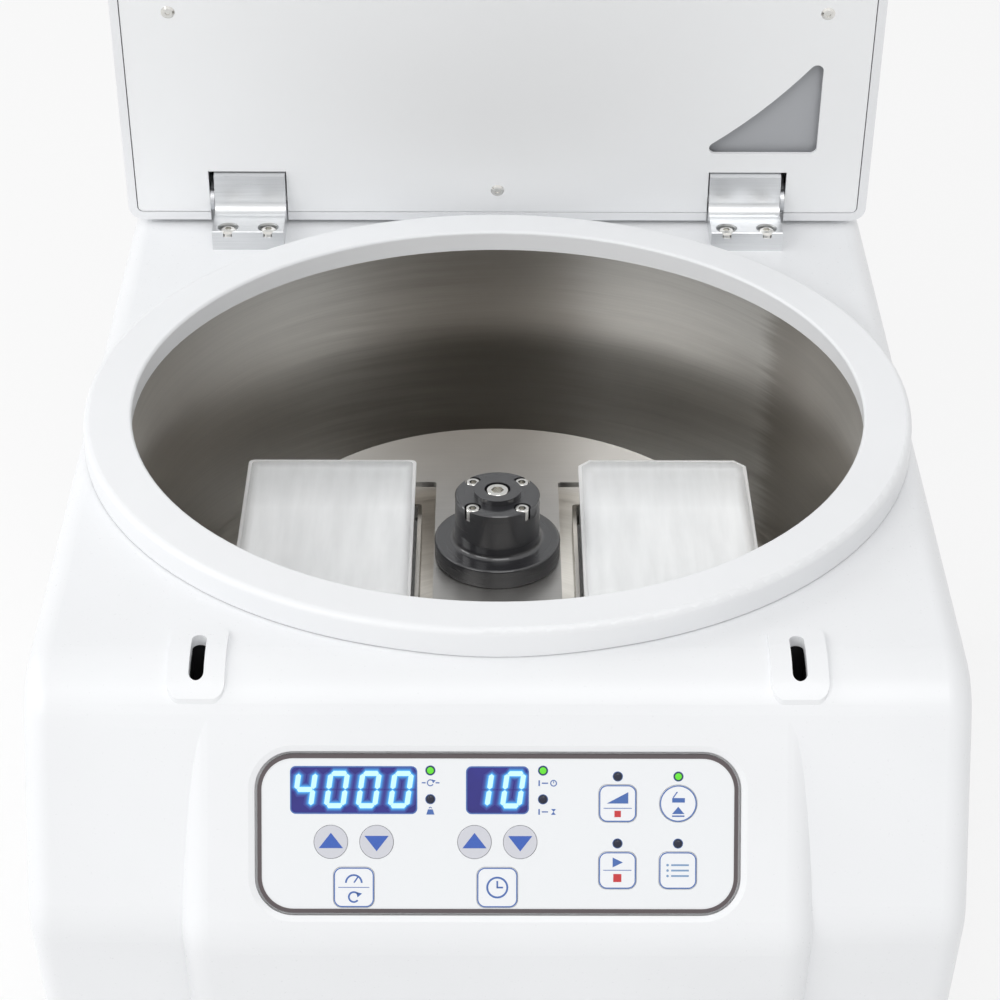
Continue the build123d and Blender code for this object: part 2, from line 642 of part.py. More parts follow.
def make_rear():
    """Rear sheet with vents, its screws, the mains inlet and the rocker switch."""
    outer = REAR_Y + REAR_SHEET
    upright = Plane(origin=(0, REAR_Y, 0), x_dir=(-1, 0, 0), z_dir=(0, 1, 0))

    def plate(sketch, low, high):
        """Sketch in the rear plane raised between two distances from the housing's back face."""
        return upright * Pos(0, 0, low) * extrude(sketch, amount=high - low)

    inlet_at = Pos(-INLET_X, INLET_Z)
    rocker_at = Pos(-ROCKER_X, INLET_Z)
    panel = plate(Pos(0, REAR_PANEL_Z) * RectangleRounded(REAR_PANEL_W, REAR_PANEL_H, 6), 0, REAR_SHEET)
    for row in range(REAR_VENT_ROWS):
        for col in range(REAR_VENT_COLS):
            x = (col - (REAR_VENT_COLS - 1) / 2) * REAR_VENT_PITCH_X
            vent = Pos(x, REAR_PANEL_Z + 12 + row * REAR_VENT_PITCH_Z) * Rectangle(REAR_VENT_W, REAR_VENT_H)
            panel -= plate(vent, -1, REAR_SHEET + 1)
    holes = [
        inlet_at * RectangleRounded(INLET_W + 2 * CUTOUT_GAP, INLET_H + 2 * CUTOUT_GAP, 2),
        rocker_at * RectangleRounded(ROCKER_W + 2 * CUTOUT_GAP, ROCKER_H + 2 * CUTOUT_GAP, 1),
    ]
    for hole in holes:
        panel -= plate(hole, -1, REAR_SHEET + 1)
    screws = []
    for sx in (-1, 0, 1):
        for sz in (-1, 1):
            x = sx * (REAR_PANEL_W / 2 - REAR_SCREW_INSET)
            at = Pos(x, REAR_PANEL_Z + sz * (REAR_PANEL_H / 2 - REAR_SCREW_INSET))
            panel -= plate(at * Circle(1.6), -1, REAR_SHEET + 1)
            head = plate(at * Circle(3.2), REAR_SHEET, REAR_SHEET + 1.8)
            slot = plate(at * (Rectangle(4, 0.8) + Rectangle(0.8, 4)), REAR_SHEET + 0.9, REAR_SHEET + 3)
            screws.append(head - slot)
    write(panel, "rear_panel")
    write(Compound(children=screws), "rear_screws")

    outer_face = REAR_SHEET + REAR_FLANGE
    flange = plate(inlet_at * RectangleRounded(INLET_W + 8, INLET_H + 8, 3), REAR_SHEET, outer_face)
    body = plate(inlet_at * RectangleRounded(INLET_W, INLET_H, 2), -22, REAR_SHEET)
    socket = chamfer((inlet_at * Rectangle(24, 16.5)).vertices().sort_by(Axis.Y)[-2:], 4)
    inlet = flange + body - plate(socket, -16, outer_face + 1)
    for px, pv in ((-7, -2), (0, 2), (7, -2)):
        inlet += plate(inlet_at * Pos(px, pv) * Rectangle(2, 4), -17, -2)
    write(inlet, "mains_inlet")

    frame = plate(rocker_at * RectangleRounded(ROCKER_W + 4, ROCKER_H + 4, 1.5), REAR_SHEET, REAR_SHEET + 1.2)
    frame += plate(rocker_at * Rectangle(ROCKER_W, ROCKER_H), -16, REAR_SHEET)
    frame -= plate(rocker_at * Rectangle(ROCKER_W - 4, ROCKER_H - 4), -9, REAR_SHEET + 2)
    pivot_y = outer - ROCKER_PIVOT_DEPTH
    half_pin = ROCKER_W / 2 - 1
    pin = rod_x(ROCKER_PIN_R, ROCKER_X - half_pin, ROCKER_X + half_pin, pivot_y, INLET_Z)
    write(frame + pin, "rocker_frame")

    half = ROCKER_H / 2 - 3.0
    wide = ROCKER_W / 2 - 2.4
    right = [(pivot_y + 5.2, half), (pivot_y + 2.4, half), (pivot_y - 2.5, 4)]
    left = [(y, -z) for y, z in reversed(right)]
    outline = [(pivot_y + 3.6, 0), *right, *left]
    cap = extrude(make_face(Plane.YZ * Polyline(*outline, close=True)), amount=wide, both=True)
    cap -= rod_x(ROCKER_PIN_R + PIN_RUN, -wide - 1, wide + 1, pivot_y, 0)
    cap = cap.rotate(Axis((0, pivot_y, 0), (1, 0, 0)), ROCKER_TILT)
    cap = Pos(ROCKER_X, 0, INLET_Z) * cap
    write(cap, "power_rocker")


# Bowl and ring

def make_bowl():
    """Spun steel bowl with a flat lip, its white ring and the rubber boot round the shaft."""
    inner, outer = BOWL_R, BOWL_R + BOWL_T
    lip_z = TOP_Z + BOWL_T
    under = BOWL_FLOOR_Z - BOWL_T
    inside = [(BOOT_BORE_R, BOWL_FLOOR_Z), (inner, BOWL_FLOOR_Z), (inner, lip_z)]
    lip = [(outer + BOWL_LIP_W, lip_z), (outer + BOWL_LIP_W, TOP_Z), (outer, TOP_Z)]
    outside = [(outer, under), (BOOT_BORE_R, under)]
    radii = [0, BOWL_CORNER, 0, 0, 0, 0, BOWL_CORNER + BOWL_T, 0]
    wall = FilletPolyline(*inside, *lip, *outside, radius=radii, close=True)
    write(revolve(make_face(Plane.XZ * wall), Axis.Z), "bowl")

    seat_z = lip_z + FIT_GAP
    rebate = outer + BOWL_LIP_W + FIT_GAP
    foot_z = TOP_Z - RING_SKIRT
    seat = [(RING_R_IN, RING_TOP_Z), (RING_R_IN + 1, seat_z), (rebate, seat_z), (rebate, foot_z)]
    rim = [(RING_R_OUT, foot_z), (RING_R_OUT, RING_TOP_Z)]
    outline = FilletPolyline(*seat, *rim, radius=[1.5, 0, 0, 0, 0, RING_ROUND], close=True)
    ring = revolve(make_face(Plane.XZ * outline), Axis.Z)
    write(ring - Pos(0, 0, RING_SHADOW_GAP) * housing_outer(), "chamber_ring")

    bore = SHAFT_R + 3
    floor = BOWL_FLOOR_Z
    boot = [
        (bore, floor - 6),
        (BOOT_BORE_R, floor - 6),
        (BOOT_BORE_R, floor),
        (BOOT_FLANGE_R, floor),
        (BOOT_FLANGE_R, floor + 3),
        (BOOT_SHOULDER_R, floor + BOOT_SHOULDER_H),
        (BOOT_STEP_R, BOOT_STEP_Z),
        (BOOT_NECK_R, BOOT_STEP_Z),
        (BOOT_NECK_R, floor + BOOT_H),
        (bore, floor + BOOT_H),
    ]
    write(turned(boot), "shaft_boot")


# Motor under the bowl

def make_drive():
    """Motor on its plate and rubber mounts, and the drive electronics beside it."""
    plate_low = MOTOR_BASE_Z - MOTOR_PLATE_T
    waist_z = (RIM_Z + plate_low) / 2
    wall = [(MOUNT_R, RIM_Z), (MOUNT_R - 3, waist_z), (MOUNT_R, plate_low)]
    mount = turned([(0, RIM_Z), *wall, (0, plate_low)])
    mounts = [Pos(sx * MOUNT_AT, sy * MOUNT_AT, 0) * mount for sx in (-1, 1) for sy in (-1, 1)]
    write(Compound(children=mounts), "motor_mounts")

    outline = RectangleRounded(MOTOR_PLATE, MOTOR_PLATE, 16)
    plate = Pos(0, 0, plate_low) * extrude(outline, amount=MOTOR_PLATE_T)
    write(plate - rod(22, plate_low - 1, MOTOR_BASE_Z + 1), "motor_plate")

    top = MOTOR_BASE_Z + MOTOR_H
    bore = SHAFT_R + SHAFT_RUN
    case = [(bore, MOTOR_BASE_Z), (MOTOR_R, MOTOR_BASE_Z), (MOTOR_R, top - 10), (MOTOR_R - 10, top)]
    boss = [(30, top), (26, top + MOTOR_BOSS_H), (bore, top + MOTOR_BOSS_H)]
    shell = turned([*case, *boss])
    for n in range(MOTOR_FINS):
        groove = slab(MOTOR_R - 4, MOTOR_R + 2, -2, 2, MOTOR_BASE_Z + 8, top - 16)
        shell -= Rot(0, 0, n * 360 / MOTOR_FINS) * groove
    write(shell, "motor_housing")

    low = RIM_Z + DRIVE_POST_H
    high = low + BOARD_T
    plan = Pos(DRIVE_BOARD_X, DRIVE_BOARD_Y, low) * RectangleRounded(DRIVE_BOARD_W, DRIVE_BOARD_L, 3)
    board = extrude(plan, amount=BOARD_T)
    posts = []
    for sx in (-1, 1):
        for sy in (-1, 1):
            x = DRIVE_BOARD_X + sx * (DRIVE_BOARD_W / 2 - 6)
            y = DRIVE_BOARD_Y + sy * (DRIVE_BOARD_L / 2 - 6)
            board -= rod(DRIVE_POST_R / 2, low - 1, high + 1, x, y)
            posts.append(rod(DRIVE_POST_R, RIM_Z, low, x, y))
    board += slab(-176, -150, 10, 50, high, RIM_Z + 34)
    for x in (-130, -155):
        board += rod(11, high, RIM_Z + 40, x, 100)
    write(board, "drive_board")
    write(Compound(children=posts), "drive_board_standoffs")


# Rotor

def make_rotor():
    """Shaft, yoke, hub, cap and screws, all turning together."""
    shaft_low = MOTOR_BASE_Z + 4
    shaft_top = HUB_BARREL_Z - 4
    under = YOKE_TOP_Z - YOKE_T
    shaft = rod(SHAFT_R, shaft_low, shaft_top)
    write(chamfer(shaft.edges(), 0.8), "motor_shaft")

    bore = SHAFT_R + PIN_FIT
    low = under - COLLAR_H
    collar = [(bore, low), (COLLAR_R - 5, low), (COLLAR_R, low + 8), (COLLAR_R, under), (bore, under)]
    write(turned(collar), "shaft_collar")

    edge = [(YOKE_R - YOKE_CHAMFER, under), (YOKE_R, under + YOKE_CHAMFER)]
    edge += [(r, under + YOKE_TOP_Z - z) for r, z in reversed(edge)]
    yoke = turned([(bore, under), *edge, (bore, YOKE_TOP_Z)])
    window = slab(BRIDGE_HALF, YOKE_R + 5, -WINDOW_HALF_L, WINDOW_HALF_L, under - 1, YOKE_TOP_Z + 1)
    window = fillet(window.edges().filter_by(Axis.Z), 1.5)
    yoke -= window + mirrored(window)
    reach = WINDOW_HALF_L + YOKE_BOSS_L
    rib_x = BRIDGE_HALF - YOKE_STEP_IN
    rib = slab(rib_x - YOKE_RIB_T, rib_x, -reach, reach, under - YOKE_RIB_H, under)
    boss_low = YOKE_TOP_Z - YOKE_BOSS_H
    boss_x = (CARRIER_X - YOKE_BOSS_W / 2, CARRIER_X + YOKE_BOSS_W / 2)
    boss = slab(*boss_x, WINDOW_HALF_L + YOKE_STEP_IN, reach, boss_low, under)
    boss &= rod(YOKE_R - 2, boss_low, under)
    seat = WINDOW_HALF_L + TRUNNION_SEAT
    blocks = rib + boss + mirror(boss, Plane.XZ)
    yoke += blocks + mirrored(blocks)
    for x in (-CARRIER_X, CARRIER_X):
        yoke -= rod_y(TRUNNION_R + PIN_FIT, -seat, seat, x, TRUNNION_Z)
    write(yoke, "rotor_yoke")

    tip = PLATE_L / 2 + CARRIER_GAP + 0.1
    pins = []
    for x in (-CARRIER_X, CARRIER_X):
        for sy in (-1, 1):
            pins.append(rod_y(TRUNNION_R, sy * tip, sy * (seat - 0.2), x, TRUNNION_Z))
    write(Compound(children=pins), "trunnion_pins")

    flange_top = YOKE_TOP_Z + HUB_FLANGE_T
    flange = [(bore, YOKE_TOP_Z), (HUB_FLANGE_R, YOKE_TOP_Z), (HUB_FLANGE_R, flange_top)]
    barrel = [(HUB_R, flange_top), (HUB_R, HUB_BARREL_Z), (bore, HUB_BARREL_Z)]
    line = FilletPolyline(*flange, *barrel, radius=[0, 0.6, 1.2, 2.6, 0, 0], close=True)
    write(revolve(make_face(Plane.XZ * line), Axis.Z), "rotor_hub")

    cap = rod(HUB_R, HUB_BARREL_Z, CAP_TOP_Z)
    cap = chamfer(cap.edges().group_by(Axis.Z)[-1], 0.5)
    cap += rod(CAP_BOSS_R, CAP_TOP_Z - 1, CAP_TOP_Z + CAP_BOSS_H)
    cap -= rod(CENTRE_BORE_R, CAP_TOP_Z - CENTRE_BORE_D, CAP_TOP_Z + CAP_BOSS_H + 1)
    cap_screws = []
    for sx in (-1, 1):
        for sy in (-1, 1):
            x, y = sx * CAP_SCREW_AT, sy * CAP_SCREW_AT
            cap -= rod(CAP_BORE_R, CAP_TOP_Z - CAP_BORE_D, CAP_TOP_Z + 1, x, y)
            screw = socket_head(CAP_SCREW_HEAD_R, CAP_BORE_D - 0.4, CAP_SCREW_HEX_R)
            cap_screws.append(Pos(x, y, CAP_TOP_Z - CAP_BORE_D) * screw)
    write(cap, "rotor_cap")
    write(Compound(children=cap_screws), "cap_screws")
    bolt = socket_head(CENTRE_HEAD_R, CENTRE_BORE_D + CAP_BOSS_H - 0.5, CENTRE_HEX_R)
    write(Pos(0, 0, CAP_TOP_Z - CENTRE_BORE_D) * bolt, "rotor_bolt")


def socket_head(radius, height, hex_r):
    """Socket-head screw's head, standing on z = 0."""
    head = chamfer(rod(radius, 0, height).edges().group_by(Axis.Z)[-1], 0.4)
    return head - extrude(Pos(0, 0, height / 4) * RegularPolygon(hex_r, 6), amount=height)


# Carriers and deep-well plates

def make_carrier():
    """Right-hand stainless carrier: a low tray with an ear and a boss at each end for its pin."""
    floor = PLATE_TOP_Z - PLATE_H - 0.3
    half_w = PLATE_W / 2 + CARRIER_GAP
    half_l = PLATE_L / 2 + CARRIER_GAP
    low = floor - CARRIER_FLOOR_T
    top = low + CARRIER_WALL_H
    outline = RectangleRounded(2 * (half_w + CARRIER_WALL), 2 * (half_l + CARRIER_WALL), 2)
    tray = Pos(CARRIER_X, 0, low) * extrude(outline, amount=CARRIER_WALL_H)
    tray -= block(CARRIER_X, 0, 2 * half_w, 2 * half_l, floor, top + 1)
    tray -= block(CARRIER_X, 0, 48, 88, low - 1, floor + 1)
    for sy in (-1, 1):
        ear_y = sy * (half_l + CARRIER_WALL / 2)
        tray += block(CARRIER_X, ear_y, 28, CARRIER_WALL, low + 4, TRUNNION_Z)
        near = sy * half_l
        boss_out = sy * (WINDOW_HALF_L - TRUNNION_BOSS_GAP)
        tray += rod_y(TRUNNION_BOSS_R, near, boss_out, CARRIER_X, TRUNNION_Z)
        tray -= rod_y(TRUNNION_R + TRUNNION_RUN, near - sy, boss_out + sy, CARRIER_X, TRUNNION_Z)
    return tray


def make_plate(clipped):
    """Right-hand deep-well plate with square wells; a clipped one has two cut corners at the back."""
    low = PLATE_TOP_Z - PLATE_H
    outline = RectangleRounded(PLATE_W, PLATE_L, PLATE_CORNER)
    waist_w = PLATE_W - 2 * PLATE_INSET
    waist_l = PLATE_L - 2 * PLATE_INSET
    waist = RectangleRounded(waist_w, waist_l, PLATE_CORNER - PLATE_INSET)
    plate = Pos(CARRIER_X, 0, low) * extrude(outline, amount=PLATE_SKIRT_H)
    plate += Pos(CARRIER_X, 0, low) * extrude(waist, amount=PLATE_H)
    plate += Pos(CARRIER_X, 0, PLATE_TOP_Z - PLATE_RIM_H) * extrude(outline, amount=PLATE_RIM_H)
    grid = GridLocations(WELL_PITCH, WELL_PITCH, WELL_COLS, WELL_ROWS)
    plate -= Pos(CARRIER_X, 0, PLATE_TOP_Z) * grid * Box(WELL_SIZE, WELL_SIZE, 2 * WELL_DEPTH)
    if clipped:
        for x in (CARRIER_X - PLATE_W / 2, CARRIER_X + PLATE_W / 2):
            plate -= Pos(x, PLATE_L / 2, PLATE_TOP_Z) * Rot(0, 0, 45) * Box(8, 8, 3 * PLATE_H)
    return plate


def make_swing_parts():
    """Both carriers and both plates."""
    carrier = make_carrier()
    write(carrier, "carrier_right")
    write(mirrored(carrier), "carrier_left")
    write(make_plate(True), "well_plate_right")
    write(mirrored(make_plate(False)), "well_plate_left")


# Lid

HINGE_AXIS = Axis((0, HINGE_Y, HINGE_Z), (1, 0, 0))
LID_BACK_Y = HINGE_Y + HINGE_TAIL


def opened(solid):
    """A piece of the closed lid, turned up to where the lid stands."""
    return solid.rotate(HINGE_AXIS, -OPEN_ANGLE)


def lid_outline(inset):
    """Plan of the lid in closed coordinates, shrunk all round."""
    back = [(-LID_HALF_W, LID_BACK_Y), (LID_HALF_W, LID_BACK_Y)]
    front = [(LID_HALF_W, LID_FRONT_Y), (-LID_HALF_W, LID_FRONT_Y)]
    radii = [LID_BACK_CORNER, LID_BACK_CORNER, LID_FRONT_CORNER, LID_FRONT_CORNER]
    face = make_face(FilletPolyline(*back, *front, radius=radii, close=True))
    return offset(face, -inset) if inset else face


def lid_layer(inset, low, high):
    """Lid's plan raised between two heights."""
    return Pos(0, 0, low) * extrude(lid_outline(inset), amount=high - low)


def hinge_notches():
    """Room for both hinge arms in the lid's lower face and back wall."""
    inner = HINGE_X - HINGE_W / 2 - NOTCH_INNER_GAP
    outer = HINGE_X + HINGE_W / 2 + NOTCH_OUTER_GAP
    notch = slab(inner, outer, HINGE_Y - NOTCH_REACH, LID_BACK_Y + 1, LID_BOTTOM_Z - 1, LINER_Z + 8)
    return notch + mirrored(notch)


def lid_screw_places():
    """Centres of the liner's screws in closed coordinates."""
    back = HINGE_Y - LID_SCREW_U
    front = LID_FRONT_Y + LID_WALL + LINER_GAP + LID_SCREW_MID_U + 8
    places = [(0, HINGE_Y - LID_SCREW_MID_U), (0, front)]
    for sx in (-1, 1):
        places.append((sx * LID_SCREW_X, back))
        places.append((sx * LID_SCREW_X, LID_SCREW_FRONT_Y))
    return places


def make_lid():
    """Lid shell, liner, inner plate, screws and strikers."""
    top = LID_BOTTOM_Z + LID_H
    shell = lid_layer(0, LID_BOTTOM_Z, top)
    shell = fillet(shell.edges().group_by(Axis.Z)[-1], LID_EDGE)
    inside = top - LID_TOP_T
    shell -= lid_layer(LID_WALL, LID_BOTTOM_Z - 1, inside)
    for x, y in lid_screw_places():
        shell += rod(LID_BOSS_R, LINER_Z + LINER_T, inside + 1, x, y)
    notches = hinge_notches()
    shell -= notches
    write(opened(shell), "lid_shell")

    liner = lid_layer(LID_WALL + LINER_GAP, LINER_Z, LINER_Z + LINER_T)
    liner -= notches
    liner -= Pos(0, 0, LINER_Z - 1) * extrude(cutout_outline(), amount=LINER_T + 2)
    write(opened(liner), "lid_liner")

    low = LINER_Z + LINER_T
    width = 2 * (LID_SCREW_X + STIFFENER_MARGIN)
    at = Pos(0, STIFFENER_BACK_Y - STIFFENER_L / 2)
    plan = at * RectangleRounded(width, STIFFENER_L, STIFFENER_CORNER)
    inner = offset(plan, -STIFFENER_T)
    sheet = Pos(0, 0, low) * extrude(plan, amount=STIFFENER_GAP + STIFFENER_T)
    sheet -= Pos(0, 0, low - 1) * extrude(inner, amount=STIFFENER_GAP + 1)
    for x, y in lid_screw_places():
        sheet -= rod(LID_BOSS_R + 1.0, low - 1, low + 20, x, y)
    write(opened(sheet), "lid_stiffener")

    screws = []
    for x, y in lid_screw_places():
        head = turned([(0, -LID_SCREW_H), (LID_SCREW_R - 1.2, -LID_SCREW_H), (LID_SCREW_R, 0), (0, 0)])
        head -= extrude(Pos(0, 0, -1) * RegularPolygon(LID_SCREW_HEX_R, 6), amount=0.8)
        screws.append(opened(Pos(x, y, LINER_Z) * head))
    write(Compound(children=screws), "lid_screws")

    base_z = LINER_Z - STRIKER_BASE
    striker = block(LATCH_X, LATCH_Y, STRIKER_FOOT_W, STRIKER_FOOT_L, base_z, LINER_Z)
    striker = fillet(striker.edges().filter_by(Axis.Z), 3)
    blade = block(LATCH_X, LATCH_Y, STRIKER_T, STRIKER_L, LINER_Z - STRIKER_REACH, LINER_Z - 1)
    blade = fillet([e for e in blade.edges().filter_by(Axis.X) if e.center().Z < base_z], 3)
    half = STRIKER_WINDOW / 2
    blade -= block(LATCH_X, LATCH_Y, 10, STRIKER_WINDOW, LOCK_PIN_Z - half, LOCK_PIN_Z + half)
    striker += blade
    write(Compound(children=[opened(striker), opened(mirrored(striker))]), "strikers")


def cutout_outline():
    """Cut-out in the liner near one hinge: two straight sides and a hollow slanting one."""
    tip = (105.0, HINGE_Y - 29.8)
    heel = (170.0, HINGE_Y - 29.8)
    peak = (170.0, HINGE_Y - 91.0)
    middle = (140.8, HINGE_Y - 58.5)
    face = make_face(Line(tip, heel) + Line(heel, peak) + ThreePointArc(peak, middle, tip))
    return fillet(face.vertices(), 3.5)


# Hinges

def make_hinge():
    """Right-hand hinge: the arm on the housing, its pin, and the bracket inside the lid."""
    x0 = HINGE_X - HINGE_W / 2
    x1 = HINGE_X + HINGE_W / 2
    foot_top = TOP_Z + HINGE_FOOT_H
    face_y = HINGE_Y - HINGE_FACE
    back_y = HINGE_Y + HINGE_BACK
    arm_top = HINGE_Z + HINGE_TOP_R
    foot = [(HINGE_FOOT_Y, TOP_Z), (HINGE_FOOT_Y, foot_top), (face_y, foot_top)]
    stem = [(face_y, arm_top), (back_y, arm_top), (back_y, TOP_Z)]
    line = FilletPolyline(*foot, *stem, radius=[0, 0.8, HINGE_FILLET, 0, 0, 0], close=True)
    arm = Pos(HINGE_X, 0, 0) * extrude(make_face(Plane.YZ * line), amount=HINGE_W / 2, both=True)
    round_top = rod_x(HINGE_TOP_R, x0 - 1, x1 + 1, HINGE_Y, HINGE_Z)
    below = slab(x0 - 1, x1 + 1, HINGE_FOOT_Y - 1, back_y + 1, TOP_Z - 1, HINGE_Z)
    arm = arm & (round_top + below)
    arm -= rod_x(PIN_R + PIN_FIT, x0 - 1, x1 + 1, HINGE_Y, HINGE_Z)
    screws = []
    for side in (-1, 1):
        x = HINGE_X + side * HINGE_SCREW_PITCH / 2
        seat_z = foot_top - HINGE_SCREW_SINK
        arm -= rod(HINGE_SCREW_BORE_R, seat_z, foot_top + 20, x, HINGE_SCREW_Y)
        screws.append(Pos(x, HINGE_SCREW_Y, seat_z) * button_head())
    pin = rod_x(PIN_R, x0 + 2.0, x1 + EAR_GAP + EAR_T + 0.4, HINGE_Y, HINGE_Z)

    roof = LID_BOTTOM_Z + LID_H - LID_TOP_T
    ear_x = x1 + EAR_GAP
    back = HINGE_Y + EAR_R
    front = HINGE_Y - BRACKET_REACH
    bracket = slab(x0, ear_x + EAR_T, front, back, roof - EAR_T, roof)
    web = [(HINGE_Y - EAR_R, HINGE_Z), (back, HINGE_Z), (back, roof - 1), (front, roof - 1)]
    ear = extrude(make_face(Plane.YZ * Polyline(*web, close=True)), amount=EAR_T)
    bracket += Pos(ear_x, 0, 0) * ear
    bracket += rod_x(EAR_R, ear_x, ear_x + EAR_T, HINGE_Y, HINGE_Z)
    bracket -= rod_x(PIN_R + PIN_RUN, ear_x - 1, ear_x + EAR_T + 1, HINGE_Y, HINGE_Z)
    return arm, pin, screws, bracket


def button_head():
    """Button-head screw's head, standing on z = 0."""
    head = turned([(0, 0), (4.8, 0), (4.6, 1.4), (3.4, 2.4), (2.0, 2.8), (0, 2.8)])
    return head - extrude(Pos(0, 0, 1.2) * RegularPolygon(1.9, 6), amount=4)


def make_hinges():
    """Both hinges."""
    arm, pin, screws, bracket = make_hinge()
    write(arm, "hinge_arm_right")
    write(mirrored(arm), "hinge_arm_left")
    write(both_sides(pin), "hinge_pins")
    write(Compound(children=screws + [mirrored(screw) for screw in screws]), "hinge_screws")
    write(opened(bracket), "lid_bracket_right")
    write(opened(mirrored(bracket)), "lid_bracket_left")


def main():
    """Write every node."""
    os.makedirs("parts", exist_ok=True)
    make_housing()
    make_panel()
    make_lock()
    make_base()
    make_rear()
    make_bowl()
    make_drive()
    make_rotor()
    make_swing_parts()
    make_lid()
    make_hinges()


main()
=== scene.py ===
"""Looks of a bench centrifuge with its lid open: finishes, printed marks, lights and camera."""

import logging
import math
from dataclasses import dataclass, field
from enum import Enum
from typing import Iterable, Optional, Sequence

import bmesh
import bpy
from mathutils import Matrix, Vector


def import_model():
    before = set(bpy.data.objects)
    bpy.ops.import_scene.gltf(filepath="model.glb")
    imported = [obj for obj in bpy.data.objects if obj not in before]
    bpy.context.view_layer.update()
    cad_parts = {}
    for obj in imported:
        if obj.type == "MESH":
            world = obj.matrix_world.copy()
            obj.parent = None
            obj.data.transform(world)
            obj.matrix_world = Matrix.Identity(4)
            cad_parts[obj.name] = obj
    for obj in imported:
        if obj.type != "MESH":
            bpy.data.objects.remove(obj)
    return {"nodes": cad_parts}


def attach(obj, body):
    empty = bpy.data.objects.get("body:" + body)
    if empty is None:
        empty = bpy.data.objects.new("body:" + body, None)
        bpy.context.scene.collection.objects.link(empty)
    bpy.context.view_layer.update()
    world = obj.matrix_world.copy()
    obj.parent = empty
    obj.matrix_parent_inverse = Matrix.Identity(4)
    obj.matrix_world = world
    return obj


LOG = logging.getLogger("centrifuge")
MM = 0.001
WORLD_LEVEL = 0.63
FLOOR_HALF = 12.0
FLOOR_GLOW = 0.7
PRINT_LIFT = 0.01
GLOW_STEPS = (2.2, 1.8, 1.4, 1.05, 0.75, 0.45, 0.2)
MIX_FIRST, MIX_SECOND, MIX_RESULT = 6, 7, 2

Colour = tuple[float, float, float]
Place = tuple[float, float, float]
Point = tuple[float, float]
Link = bpy.types.NodeSocket
Material = bpy.types.Material
Inks = dict[str, bpy.types.Material]

WHITE: Colour = (0.86, 0.87, 0.885)


class Grain(Enum):
    """Which way the fine lines of a metal surface run."""

    ROUND_Z = "round the upright axis"
    ALONG_X = "along X"
    ALONG_Y = "along Y"
    NONE = "no lines"


class Key(Enum):
    """Middle of each key, across and up from the panel's middle, in millimetres."""

    SPEED_UP = (-69.75, -3.5)
    SPEED_DOWN = (-50.65, -3.5)
    TIME_UP = (-9.75, -3.5)
    TIME_DOWN = (9.35, -3.5)
    SPEED = (-60.2, -22.7)
    TIME = (-0.2, -22.7)
    SOFT_START = (50.0, 12.9)
    START_STOP = (50.0, -15.4)
    PROGRAM = (75.3, -15.4)
    LID_RELEASE = (75.3, 12.9)


def linear(hex_code: str) -> Colour:
    """Turn a screen colour such as 3A5BA5 into linear red, green and blue.

    Args:
        hex_code: Six hexadecimal digits.

    Returns:
        The linear colour.
    """
    parts = [int(hex_code[i : i + 2], 16) / 255 for i in (0, 2, 4)]
    out = [p / 12.92 if p <= 0.04045 else ((p + 0.055) / 1.055) ** 2.4 for p in parts]
    return (out[0], out[1], out[2])


def dimmed(colour: Colour, share: float) -> Colour:
    """A colour with only a share of its light."""
    return (colour[0] * share, colour[1] * share, colour[2] * share)


def axes_matrix(right: Vector, up: Vector, out: Vector, at: Sequence[float]) -> Matrix:
    """Matrix from a plane's own coordinates to the row frame.

    Args:
        right: Direction of the plane's X.
        up: Direction of its Y.
        out: Direction of its Z.
        at: Its origin, in millimetres.

    Returns:
        The matrix, in metres.
    """
    rows = [(right[i], up[i], out[i], at[i] * MM) for i in range(3)]
    return Matrix((*rows, (0, 0, 0, 1)))


# Shader building


